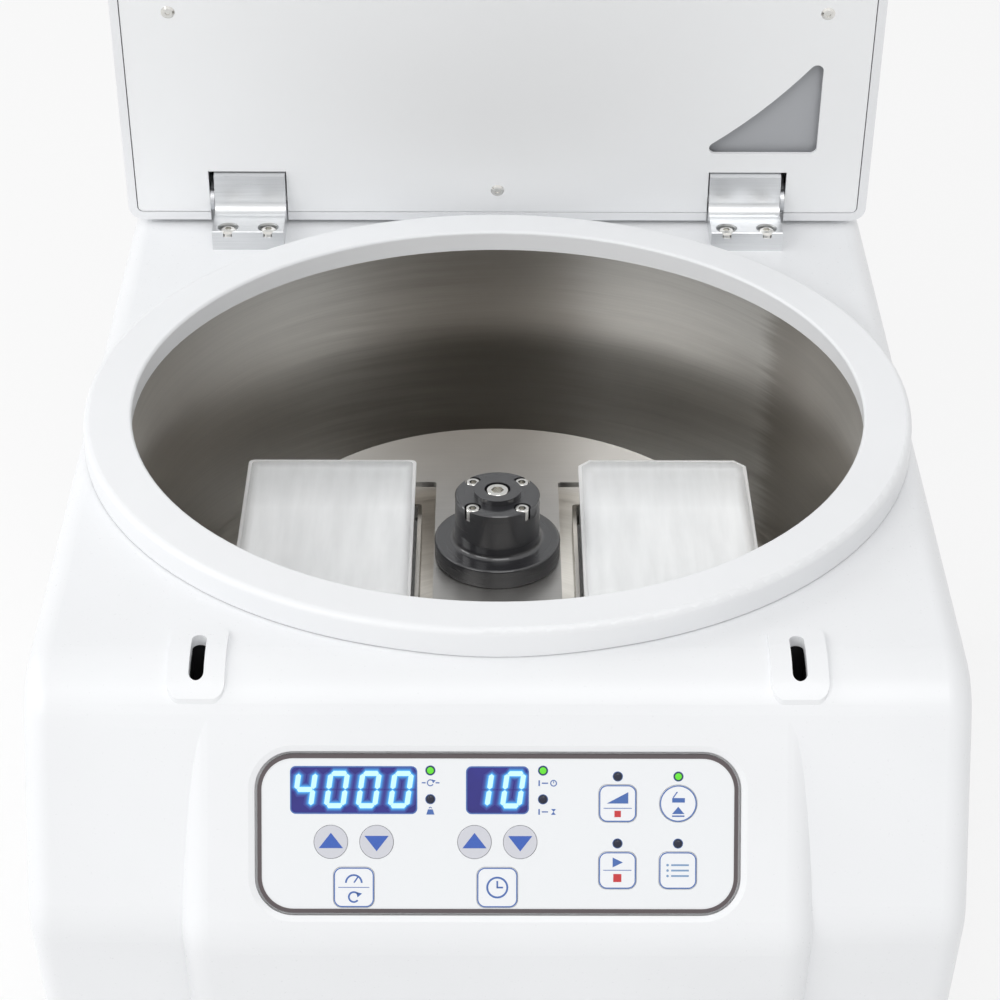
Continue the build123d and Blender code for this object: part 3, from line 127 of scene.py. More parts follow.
class Recipe:
    """A node material under construction, read from Object coordinates."""

    def __init__(self, name: str) -> None:
        """Start a material with a Principled shader."""
        self.material = bpy.data.materials.new(name)
        self.material.use_nodes = True
        self.nodes = self.material.node_tree.nodes
        self.links = self.material.node_tree.links
        self.nodes.clear()
        self.out = self.nodes.new("ShaderNodeOutputMaterial")
        self.bsdf = self.nodes.new("ShaderNodeBsdfPrincipled")
        self.links.new(self.bsdf.outputs[0], self.out.inputs[0])
        self.place = self.nodes.new("ShaderNodeTexCoord").outputs["Object"]

    def set(self, **values: object) -> None:
        """Set constant values on the shader's sockets, with underscores for spaces."""
        for key, value in values.items():
            socket = self.bsdf.inputs[key.replace("_", " ")]
            socket.default_value = (*value, 1.0) if socket.type == "RGBA" else value

    def feed(self, key: str, source: Link) -> None:
        """Link a source to one of the shader's sockets."""
        self.links.new(source, self.bsdf.inputs[key])

    def mapped(self, scale: Place, source: Optional[Link] = None) -> Link:
        """Scaled coordinates.

        Args:
            scale: Factor along each axis.
            source: Coordinates to start from, or none for Object coordinates.

        Returns:
            The scaled vector.
        """
        node = self.nodes.new("ShaderNodeMapping")
        node.inputs["Scale"].default_value = scale
        self.links.new(source or self.place, node.inputs["Vector"])
        return node.outputs[0]

    def noise(self, vector: Link, scale: float = 1.0, detail: float = 2.0, rough: float = 0.5) -> Link:
        """Noise value from 0 to 1 at a vector."""
        node = self.nodes.new("ShaderNodeTexNoise")
        node.inputs["Scale"].default_value = scale
        node.inputs["Detail"].default_value = detail
        node.inputs["Roughness"].default_value = rough
        self.links.new(vector, node.inputs["Vector"])
        return node.outputs["Fac"]

    def span(
        self, source: Link, low: float, high: float, to_low: float = 0.0, to_high: float = 1.0
    ) -> Link:
        """Value mapped from one range to another and clamped."""
        node = self.nodes.new("ShaderNodeMapRange")
        for key, value in zip(("From Min", "From Max", "To Min", "To Max"), (low, high, to_low, to_high)):
            node.inputs[key].default_value = value
        self.links.new(source, node.inputs["Value"])
        return node.outputs[0]

    def mix(self, factor: Link, first: Colour, second: Colour) -> Link:
        """Colour between two by a factor."""
        node = self.nodes.new("ShaderNodeMix")
        node.data_type = "RGBA"
        node.inputs[MIX_FIRST].default_value = (*first, 1.0)
        node.inputs[MIX_SECOND].default_value = (*second, 1.0)
        self.links.new(factor, node.inputs[0])
        return node.outputs[MIX_RESULT]

    def sum(self, first: Link, second: Link, operation: str = "ADD") -> Link:
        """Two values combined by a math operation."""
        node = self.nodes.new("ShaderNodeMath")
        node.operation = operation
        self.links.new(first, node.inputs[0])
        self.links.new(second, node.inputs[1])
        return node.outputs[0]

    def bump(self, height: Link, distance: float, strength: float) -> None:
        """Bump from a height."""
        node = self.nodes.new("ShaderNodeBump")
        node.inputs["Strength"].default_value = strength
        node.inputs["Distance"].default_value = distance
        self.links.new(height, node.inputs["Height"])
        self.links.new(node.outputs[0], self.bsdf.inputs["Normal"])

    def split(self, vector: Link) -> tuple[Link, Link, Link]:
        """The three parts of a vector."""
        node = self.nodes.new("ShaderNodeSeparateXYZ")
        self.links.new(vector, node.inputs[0])
        return node.outputs[0], node.outputs[1], node.outputs[2]

    def join(self, x: Link, y: Link, z: Link) -> Link:
        """A vector from three parts."""
        node = self.nodes.new("ShaderNodeCombineXYZ")
        for i, part in enumerate((x, y, z)):
            self.links.new(part, node.inputs[i])
        return node.outputs[0]

    def round_z(self) -> Link:
        """Tangent that runs round the upright axis."""
        node = self.nodes.new("ShaderNodeTangent")
        node.direction_type = "RADIAL"
        node.axis = "Z"
        return node.outputs[0]

    def radius(self) -> Link:
        """Distance from the upright axis."""
        node = self.nodes.new("ShaderNodeVectorMath")
        node.operation = "LENGTH"
        self.links.new(self.mapped((1, 1, 0)), node.inputs[0])
        return node.outputs["Value"]


@dataclass(frozen=True)
class Moulded:
    """Satin moulded plastic: faint mottling and a fine moulded skin."""

    name: str
    colour: Colour
    shade: float = 0.97
    rough: float = 0.3
    skin: float = 0.00002
    skin_scale: float = 900.0

    def build(self) -> Material:
        """Make the material."""
        r = Recipe(self.name)
        cloud = r.noise(r.place, 9.0, 3.0)
        dark = dimmed(self.colour, self.shade)
        r.feed("Base Color", r.mix(r.span(cloud, 0.35, 0.65), dark, self.colour))
        fine = r.noise(r.place, self.skin_scale, 2.0)
        r.feed("Roughness", r.span(fine, 0.2, 0.8, self.rough - 0.04, self.rough + 0.05))
        r.bump(fine, self.skin, 0.35)
        r.set(IOR=1.48)
        return r.material


@dataclass(frozen=True)
class Coated:
    """Powder coat on sheet metal: a fine pebbled skin."""

    name: str
    colour: Colour
    rough: float = 0.45
    pebble: float = 0.00005
    shade: float = 0.975

    def build(self) -> Material:
        """Make the material."""
        r = Recipe(self.name)
        pebbles = r.noise(r.place, 1400.0, 3.0, 0.6)
        cloud = r.noise(r.place, 6.0, 2.0)
        dark = dimmed(self.colour, self.shade)
        r.feed("Base Color", r.mix(r.span(cloud, 0.3, 0.7), dark, self.colour))
        r.feed("Roughness", r.span(pebbles, 0.3, 0.7, self.rough - 0.05, self.rough + 0.08))
        r.bump(pebbles, self.pebble, 0.4)
        return r.material


@dataclass(frozen=True)
class Metal:
    """Bare or anodised metal with fine lines one way."""

    name: str
    colour: Colour
    rough: float = 0.3
    grain: Grain = Grain.NONE
    lines: float = 2600.0
    depth: float = 0.000004
    cloud: float = 0.12
    metallic: float = 1.0
    coat: float = 0.0

    def coordinates(self, r: Recipe) -> Link:
        """Coordinates in which the lines are long and thin."""
        if self.grain is Grain.ROUND_Z:
            x, y, z = r.split(r.place)
            return r.mapped((9.0, 9.0, self.lines), r.join(x, y, r.sum(r.radius(), z)))
        if self.grain is Grain.ALONG_X:
            return r.mapped((18.0, self.lines, self.lines))
        if self.grain is Grain.ALONG_Y:
            return r.mapped((self.lines, 18.0, self.lines))
        return r.mapped((self.lines, self.lines, self.lines))

    def build(self) -> Material:
        """Make the material."""
        r = Recipe(self.name)
        lines = r.noise(self.coordinates(r), 1.0, 3.0, 0.6)
        cloud = r.noise(r.place, 14.0, 3.0)
        tone = r.sum(r.span(lines, 0.25, 0.75, -self.cloud, self.cloud), cloud)
        dark = dimmed(self.colour, 1 - self.cloud)
        light = tuple(min(1.0, c * (1 + self.cloud * 0.6)) for c in self.colour)
        r.feed("Base Color", r.mix(r.span(tone, 0.3, 0.7), dark, light))
        r.feed("Roughness", r.span(lines, 0.25, 0.75, self.rough * 0.85, self.rough * 1.15))
        r.bump(lines, self.depth, 0.6)
        r.set(Metallic=self.metallic, Coat_Weight=self.coat, Coat_Roughness=0.08)
        return r.material


@dataclass(frozen=True)
class SpunSteel:
    """Spun steel: fine rings round the axis, and upright bands painted in for a room's reflections.

    The bands are pairs of an angle in degrees, from +X towards +Y, and a tone from 0 to 1. Dim bands
    are warm and bright ones are neutral.
    """

    name: str
    rough: float = 0.46
    stretch: float = 0.92
    bands: tuple[tuple[float, float], ...] = (
        (0, 0.60), (26, 0.62), (35, 0.44), (39, 0.95), (56, 1.00), (70, 1.00), (79, 0.48), (90, 0.33),
        (101, 0.38), (112, 0.62), (122, 0.98), (134, 1.00), (156, 0.56), (180, 0.56), (205, 0.48),
        (228, 0.76), (246, 0.60), (262, 0.46), (290, 0.54), (312, 0.86), (330, 0.60), (360, 0.60),
    )
    warm: Colour = (1.0, 0.93, 0.84)
    cool: Colour = (1.0, 0.99, 0.96)
    warm_to: float = 0.35
    cool_over: float = 0.5
    sway: float = 0.004
    groove: Colour = (0.80, 0.80, 0.80)

    def stops(self) -> list[tuple[float, Colour]]:
        """Place and colour of each stop of the ramp round the axis."""
        out = []
        for degrees, level in self.bands:
            share = min(1.0, max(0.0, (level - self.warm_to) / self.cool_over))
            tint = [w + (c - w) * share for w, c in zip(self.warm, self.cool)]
            out.append((degrees / 360, (level * tint[0], level * tint[1], level * tint[2])))
        return out

    def ramp(self, r: Recipe, turn: Link) -> Link:
        """Colour of the bands at a share of a turn."""
        node = r.nodes.new("ShaderNodeValToRGB")
        node.color_ramp.interpolation = "B_SPLINE"
        elements = node.color_ramp.elements
        while len(elements) < len(self.bands):
            elements.new(0.5)
        for element, (position, colour) in zip(elements, self.stops()):
            element.position = position
            element.color = (*colour, 1.0)
        r.links.new(turn, node.inputs[0])
        return node.outputs[0]

    def build(self) -> Material:
        """Make the material."""
        r = Recipe(self.name)
        x, y, z = r.split(r.place)
        radius = r.radius()
        sway = r.noise(r.place, 5.0, 2.0)
        along = r.sum(r.sum(radius, z), r.span(sway, 0.3, 0.7, -self.sway, self.sway))
        rings = r.noise(r.mapped((7.0, 7.0, 1500.0), r.join(x, y, along)), 1.0, 4.0, 0.65)
        swirl = r.noise(r.mapped((10.0, 10.0, 240.0), r.join(x, y, along)), 1.0, 3.0, 0.6)
        turn = r.span(r.sum(y, x, "ARCTAN2"), -math.pi, math.pi, -0.5, 0.5)
        wrap = r.nodes.new("ShaderNodeMath")
        wrap.operation = "FRACT"
        r.links.new(turn, wrap.inputs[0])
        blurred = r.sum(wrap.outputs[0], r.span(swirl, 0.3, 0.7, -self.sway, self.sway))
        shade = r.nodes.new("ShaderNodeMix")
        shade.data_type = "RGBA"
        shade.blend_type = "MULTIPLY"
        shade.inputs[0].default_value = 1.0
        r.links.new(self.ramp(r, blurred), shade.inputs[MIX_FIRST])
        tone = r.sum(r.span(rings, 0.25, 0.75, 0.0, 0.55), r.span(swirl, 0.25, 0.75, 0.0, 0.45))
        r.links.new(r.mix(tone, self.groove, (1.0, 1.0, 1.0)), shade.inputs[MIX_SECOND])
        r.feed("Base Color", shade.outputs[MIX_RESULT])
        r.feed("Roughness", r.span(rings, 0.25, 0.75, self.rough - 0.05, self.rough + 0.05))
        r.bump(rings, 0.000006, 0.5)
        r.set(Metallic=1.0, Anisotropic=self.stretch)
        r.feed("Tangent", r.round_z())
        return r.material


@dataclass(frozen=True)
class Printed:
    """Flat printing ink."""

    name: str
    colour: Colour
    rough: float = 0.42

    def build(self) -> Material:
        """Make the material."""
        r = Recipe(self.name)
        patch = r.noise(r.place, 1200.0, 2.0)
        r.feed("Base Color", r.mix(r.span(patch, 0.3, 0.7), dimmed(self.colour, 0.93), self.colour))
        r.set(Roughness=self.rough)
        return r.material


@dataclass(frozen=True)
class Glow:
    """Lit display segment or lamp."""

    name: str
    colour: Colour
    strength: float = 1.0
    base: Colour = (0.02, 0.02, 0.05)

    def build(self) -> Material:
        """Make the material."""
        r = Recipe(self.name)
        flicker = r.noise(r.place, 500.0, 1.0)
        r.feed("Emission Color", r.mix(r.span(flicker, 0.3, 0.7), dimmed(self.colour, 0.96), self.colour))
        r.set(Base_Color=self.base, Emission_Strength=self.strength, Roughness=0.5)
        return r.material


# Mesh building


def finish_mesh(
    bm: bmesh.types.BMesh, name: str, place: Matrix, material: Material, body: str
) -> bpy.types.Object:
    """Turn a bmesh into a piece that rides on a body.

    Args:
        bm: The shape, in its own coordinates. It is freed.
        name: Name of the piece.
        place: Where the shape goes in the row frame.
        material: Its material.
        body: The body that carries it.

    Returns:
        The new object, at the origin with its place in its mesh.
    """
    bmesh.ops.remove_doubles(bm, verts=bm.verts, dist=1e-7)
    bmesh.ops.recalc_face_normals(bm, faces=bm.faces)
    bmesh.ops.transform(bm, matrix=place, verts=bm.verts)
    mesh = bpy.data.meshes.new(name)
    bm.to_mesh(mesh)
    bm.free()
    obj = bpy.data.objects.new(name, mesh)
    bpy.context.scene.collection.objects.link(obj)
    mesh.materials.append(material)
    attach(obj, body)
    LOG.info("piece %s rides on %s", name, body)
    return obj


class Marks:
    """Flat printed marks gathered in one mesh, in millimetres on their own plane."""

    def __init__(self) -> None:
        """Start with nothing printed."""
        self.bm = bmesh.new()

    def shape(self, points: Iterable[Point]) -> None:
        """A filled polygon."""
        self.bm.faces.new([self.bm.verts.new((x, y, 0.0)) for x, y in points])

    def bar(self, x: float, y: float, width: float, height: float, turn: float = 0.0) -> None:
        """A filled rectangle about its centre."""
        c, s = math.cos(turn), math.sin(turn)
        w, h = width / 2, height / 2
        self.shape([(x + u * c - v * s, y + u * s + v * c) for u, v in ((-w, -h), (w, -h), (w, h), (-w, h))])

    def disc(self, x: float, y: float, radius: float, sides: int) -> None:
        """A filled circle."""
        at = Matrix.Translation((x, y, 0))
        bmesh.ops.create_circle(self.bm, cap_ends=True, radius=radius, segments=sides, matrix=at)

    def arc(
        self,
        x: float,
        y: float,
        radius: float,
        line: float,
        start: float = 0.0,
        turn: float = 360.0,
        steps: int = 40,
    ) -> None:
        """Part of a ring.

        Args:
            x: Centre.
            y: Centre.
            radius: Middle radius of the line.
            line: Width of the line.
            start: Angle where it starts, in degrees.
            turn: How far it goes, in degrees.
            steps: Number of faces.
        """
        a = math.radians(start)
        way = Vector((math.cos(a), math.sin(a), 0))
        centre = Vector((x, y, 0))
        ends = [self.bm.verts.new(centre + way * (radius + side * line / 2)) for side in (-1, 1)]
        edge = self.bm.edges.new(ends)
        bmesh.ops.spin(
            self.bm,
            geom=[*ends, edge],
            cent=centre,
            axis=(0, 0, 1),
            angle=math.radians(turn),
            steps=steps,
            use_merge=turn >= 360,
        )

    def frame(self, x: float, y: float, width: float, height: float, corner: float, line: float) -> None:
        """An outline with rounded corners.

        Args:
            x: Centre.
            y: Centre.
            width: Outer width.
            height: Outer height.
            corner: Outer corner radius.
            line: Width of the line.
        """
        sides = ((-1, -1), (1, -1), (1, 1), (-1, 1))
        verts = [self.bm.verts.new((x + sx * width / 2, y + sy * height / 2, 0)) for sx, sy in sides]
        face = self.bm.faces.new(verts)
        geom = [*face.verts, *face.edges, face]
        bmesh.ops.bevel(
            self.bm, geom=geom, offset=corner, segments=8, profile=0.5, affect="VERTICES", material=-1
        )
        face = max(self.bm.faces, key=lambda f: f.calc_area())
        bmesh.ops.inset_region(
            self.bm, faces=[face], thickness=line, use_even_offset=True, use_boundary=True
        )
        bmesh.ops.delete(self.bm, geom=[face], context="FACES")

    def segments(self, x: float, y: float, digit: str, grow: float, size: "DigitSize") -> None:
        """The lit bars of one seven-segment digit, each grown by a margin."""
        for way, u, v in size.lit(digit):
            half = size.bar(way) / 2 + grow
            thick = size.stroke / 2 + grow
            tip = thick * size.taper
            outline = [(-half, 0), (-half + tip, thick), (half - tip, thick)]
            outline += [(half, 0), (half - tip, -thick), (-half + tip, -thick)]
            points = [(u + a, v + b) if way == "across" else (u - b, v + a) for a, b in outline]
            self.shape([(x + a + b * size.slant, y + b) for a, b in points])

    def done(
        self, name: str, place: Matrix, material: Material, body: str, thick: float = 0.03
    ) -> bpy.types.Object:
        """Give the marks their thickness and make the piece."""
        bmesh.ops.recalc_face_normals(self.bm, faces=self.bm.faces)
        down = [f for f in self.bm.faces if f.normal.z < 0]
        bmesh.ops.reverse_faces(self.bm, faces=down)
        grown = bmesh.ops.extrude_face_region(self.bm, geom=self.bm.faces[:])
        raised = [g for g in grown["geom"] if isinstance(g, bmesh.types.BMVert)]
        bmesh.ops.translate(self.bm, verts=raised, vec=(0, 0, thick))
        return finish_mesh(self.bm, name, place @ Matrix.Scale(MM, 4), material, body)


@dataclass(frozen=True)
class DigitSize:
    """Seven-segment digit, in millimetres."""

    width: float = 9.0
    height: float = 15.7
    stroke: float = 2.1
    slant: float = 0.145
    gap: float = 0.35
    taper: float = 0.75

    def bar(self, way: str) -> float:
        """Length of a bar that runs across or up."""
        if way == "across":
            return self.width - self.stroke - self.gap
        return (self.height - self.stroke) / 2 - self.gap

    def lit(self, digit: str) -> list[tuple[str, float, float]]:
        """Bars that are lit for a digit.

        Args:
            digit: One figure.

        Returns:
            Each bar's direction and its centre.
        """
        right = (self.width - self.stroke) / 2
        top = (self.height - self.stroke) / 2
        bars = {
            "a": ("across", 0.0, top),
            "b": ("up", right, top / 2),
            "c": ("up", right, -top / 2),
            "d": ("across", 0.0, -top),
            "e": ("up", -right, -top / 2),
            "f": ("up", -right, top / 2),
            "g": ("across", 0.0, 0.0),
        }
        figures = {"0": "abcdef", "1": "bc", "4": "bcfg"}
        return [bars[name] for name in figures[digit]]


# Control panel


@dataclass
class ControlPanel:
    """Front panel: printed outlines, key marks, lit digits and lamps, in millimetres.

    Places are across and up from the panel's middle. Depths are out from its face.
    """

    centre_y: float = -238.816
    centre_z: float = 236.4
    tilt: float = 28.0
    key_face: float = 0.15
    lamp_face: float = 0.1
    print_depth: float = 0.02
    windows: tuple[Point, ...] = ((-60.2, 53.1), (-0.2, 26.3))
    window_v: float = 18.4
    window_h: float = 20.2
    window_corner: float = 2.4
    line: float = 0.55
    lamp_ring_r: float = 1.85
    wide_key: float = 16.8
    small_key: float = 15.5
    key_corner: float = 3.4
    key_line: float = 0.5
    divider: float = 0.3
    digit: DigitSize = field(default_factory=DigitSize)
    digit_v: float = 18.6
    digit_depth: float = -0.03
    glow_depth: float = -0.095
    glow_layer: float = 0.008
    speed_digits: tuple[tuple[str, float], ...] = (("4", -80.6), ("0", -67.2), ("0", -53.9), ("0", -40.5))
    time_digits: tuple[tuple[str, float], ...] = (("1", -7.0), ("0", 6.35))
    lamps: tuple[Point, ...] = (
        (-28.2, 26.7), (-28.2, 14.6), (18.8, 26.7), (18.8, 14.6),
        (50.0, 24.3), (75.3, 24.3), (50.0, -4.0), (75.3, -4.0),
    )
    lit: tuple[int, ...] = (0, 2, 5)
    dome_r: float = 1.6
    dome_cut: float = 0.9
    dome_scale: Place = (1.1, 1.1, 0.35)

    def plane(self, x: float = 0.0, v: float = 0.0, depth: float = 0.0) -> Matrix:
        """Matrix from panel coordinates, in metres, to the row frame."""
        a = math.radians(self.tilt)
        right = Vector((1, 0, 0))
        up = Vector((0, math.sin(a), math.cos(a)))
        out = Vector((0, -math.cos(a), math.sin(a)))
        at = Vector((0, self.centre_y, self.centre_z)) + right * x + up * v + out * depth
        return axes_matrix(right, up, out, at)

    def build(self, ink: Inks) -> None:
        """Make every printed and lit piece."""
        self.face_print(ink)
        self.arrows(ink)
        self.keys(ink)
        self.digits(ink)
        self.lamp_faces(ink)

    def face_print(self, ink: Inks) -> None:
        """Display frames, lamp rings and the small marks beside the lamps."""
        m = Marks()
        for x, width in self.windows:
            m.frame(x, self.window_v, width, self.window_h, self.window_corner, self.line)
        for x, v in self.lamps:
            m.arc(x, v, self.lamp_ring_r, self.line)
        m.arc(-28.2, 21.5, 1.25, 0.42, 40, 290, 24)
        m.shape([(-27.6, 22.9), (-26.0, 22.5), (-27.1, 21.3)])
        m.bar(-31.0, 21.5, 1.6, 0.5)
        m.bar(-25.2, 21.5, 1.6, 0.5)
        m.shape([(-29.9, 8.1), (-26.5, 8.1), (-27.2, 10.3), (-29.2, 10.3)])
        m.arc(-28.2, 10.7, 0.5, 0.35, 0, 180, 10)
        m.bar(17.2, 21.4, 0.6, 2.4)
        m.bar(19.6, 21.4, 2.6, 0.5)
        m.arc(23.2, 21.4, 1.2, 0.42)
        m.bar(23.2, 21.8, 0.35, 0.8)
        m.bar(17.2, 9.3, 0.6, 2.4)
        m.bar(19.6, 9.3, 2.6, 0.5)
        m.shape([(22.2, 8.1), (24.2, 8.1), (23.2, 9.2), (24.2, 10.5), (22.2, 10.5), (23.2, 9.4)])
        m.done("panel_print", self.plane(depth=self.print_depth), ink["blue"], "root")

    def on_key(self, marks: Marks, name: str, key: Key, material: Material, rise: float = 0.0) -> None:
        """Print marks on a key, so that they move with it.

        Args:
            marks: The marks, about the key's middle.
            name: Name of the piece.
            key: The key.
            material: Its ink.
            rise: How far above the key's middle the marks stand.
        """
        x, v = key.value
        place = self.plane(x, v + rise, self.key_face + PRINT_LIFT)
        marks.done(name, place, material, f"{key.name.lower()}_button")

    def outlined(self, size: float) -> Marks:
        """Marks that start with a key's square outline."""
        m = Marks()
        m.frame(0, 0, size, size, self.key_corner, self.key_line)
        return m

    def stop_square(self, name: str, key: Key, size: float, rise: float, ink: Inks) -> None:
        """Red square for stop."""
        m = Marks()
        m.bar(0, 0, size, size)
        self.on_key(m, name, key, ink["red"], rise)

    def arrows(self, ink: Inks) -> None:
        """Triangle on each arrow key."""
        for key, way in ((Key.SPEED_UP, 1), (Key.SPEED_DOWN, -1), (Key.TIME_UP, 1), (Key.TIME_DOWN, -1)):
            m = Marks()
            m.shape([(-5.05, -2.6 * way), (5.05, -2.6 * way), (0, 3.9 * way)])
            self.on_key(m, f"print_{key.name.lower()}", key, ink["arrow"])

    def keys(self, ink: Inks) -> None:
        """Outline and pictogram on each of the other keys."""
        m = self.outlined(self.wide_key)
        m.bar(0, 0, 13.0, self.divider)
        m.arc(0, 1.9, 3.3, 0.75, 0, 180, 24)
        m.bar(0.9, 3.2, 0.6, 3.0, -0.6)
        m.arc(0, -4.1, 2.1, 0.75, 30, 290, 24)
        m.shape([(1.0, -1.9), (3.4, -2.6), (1.5, -4.3)])
        self.on_key(m, "print_speed", Key.SPEED, ink["blue"])

        m = self.outlined(self.wide_key)
        m.arc(0, 0, 4.2, 0.8)
        m.bar(0, 1.3, 0.7, 3.0)
        m.bar(1.1, 0, 2.6, 0.7)
        self.on_key(m, "print_time", Key.TIME, ink["blue"])

        m = self.outlined(self.small_key)
        m.bar(0, -2.0, 11.8, self.divider)
        m.shape([(-4.6, 0.0), (4.4, 0.0), (4.4, 4.8)])
        self.on_key(m, "print_soft_start", Key.SOFT_START, ink["blue"])
        self.stop_square("print_soft_stop", Key.SOFT_START, 2.7, -4.4, ink)

        m = self.outlined(self.small_key)
        m.bar(0, 0.1, 11.8, self.divider)
        m.shape([(-2.0, 1.3), (-2.0, 5.5), (2.3, 3.4)])
        self.on_key(m, "print_start", Key.START_STOP, ink["blue"])
        self.stop_square("print_stop", Key.START_STOP, 3.4, -3.2, ink)

        self.on_key(self.outlined(self.small_key), "print_program", Key.PROGRAM, ink["blue"])
        m = Marks()
        for row in (-2.3, 0, 2.3):
            m.disc(-4.3, row, 0.55, 16)
            m.bar(0.9, row, 7.4, 0.75)
        self.on_key(m, "print_list", Key.PROGRAM, ink["pale"])

        m = Marks()
        m.arc(0, 0, 7.45, self.key_line, steps=64)
        m.bar(0.1, 1.4, 5.3, 1.9)
        m.bar(-1.3, 3.7, 3.0, 0.5, 0.95)
        m.shape([(-2.6, -4.4), (2.6, -4.4), (0.0, -1.3)])
        m.bar(0, -5.3, 5.2, 0.6)
        self.on_key(m, "print_lid_release", Key.LID_RELEASE, ink["blue"])

    def figures(self, grow: float) -> Marks:
        """Marks that hold every lit figure, grown by a margin."""
        m = Marks()
        for figure, x in (*self.speed_digits, *self.time_digits):
            m.segments(x, self.digit_v, figure, grow, self.digit)
        return m

    def digits(self, ink: Inks) -> None:
        """Lit figures, each in layers from its glow to its bright core."""
        for n, grow in enumerate(GLOW_STEPS):
            place = self.plane(depth=self.glow_depth + self.glow_layer * n)
            self.figures(grow).done(f"digit_glow_{n}", place, ink[f"glow_{n}"], "root", 0.006)
        self.figures(0.0).done("digits", self.plane(depth=self.digit_depth), ink["core"], "root", 0.01)

    def lamp_faces(self, ink: Inks) -> None:
        """Domed face of each lamp, lit or dark."""
        for n, (x, v) in enumerate(self.lamps):
            bm = bmesh.new()
            bmesh.ops.create_uvsphere(bm, u_segments=24, v_segments=12, radius=self.dome_r)
            bmesh.ops.bisect_plane(
                bm,
                geom=[*bm.verts, *bm.edges, *bm.faces],
                plane_co=(0, 0, self.dome_cut),
                plane_no=(0, 0, -1),
                clear_outer=True,
            )
            rim = [e for e in bm.edges if e.is_boundary]
            bmesh.ops.edgeloop_fill(bm, edges=rim)
            bmesh.ops.translate(bm, verts=bm.verts, vec=(0, 0, -self.dome_cut))
            bmesh.ops.scale(bm, verts=bm.verts, vec=self.dome_scale)
            place = self.plane(x, v, self.lamp_face + 0.005) @ Matrix.Scale(MM, 4)
            face = finish_mesh(bm, f"lamp_{n}", place, ink["lit" if n in self.lit else "dark"], "root")
            face.data.shade_smooth()


# Studio


@dataclass(frozen=True)
class SoftLight:
    """Large square light aimed at a point, in metres and watts."""

    name: str
    at: Place
    aim: Place
    side: float
    power: float

    def build(self) -> None:
        """Make the light."""
        data = bpy.data.lights.new(self.name, "AREA")
        data.shape = "RECTANGLE"
        data.size, data.size_y = self.side, self.side
        data.energy = self.power
        obj = bpy.data.objects.new(self.name, data)
        obj.location = self.at
        obj.rotation_euler = (Vector(self.aim) - Vector(self.at)).to_track_quat("-Z", "Y").to_euler()
        bpy.context.scene.collection.objects.link(obj)


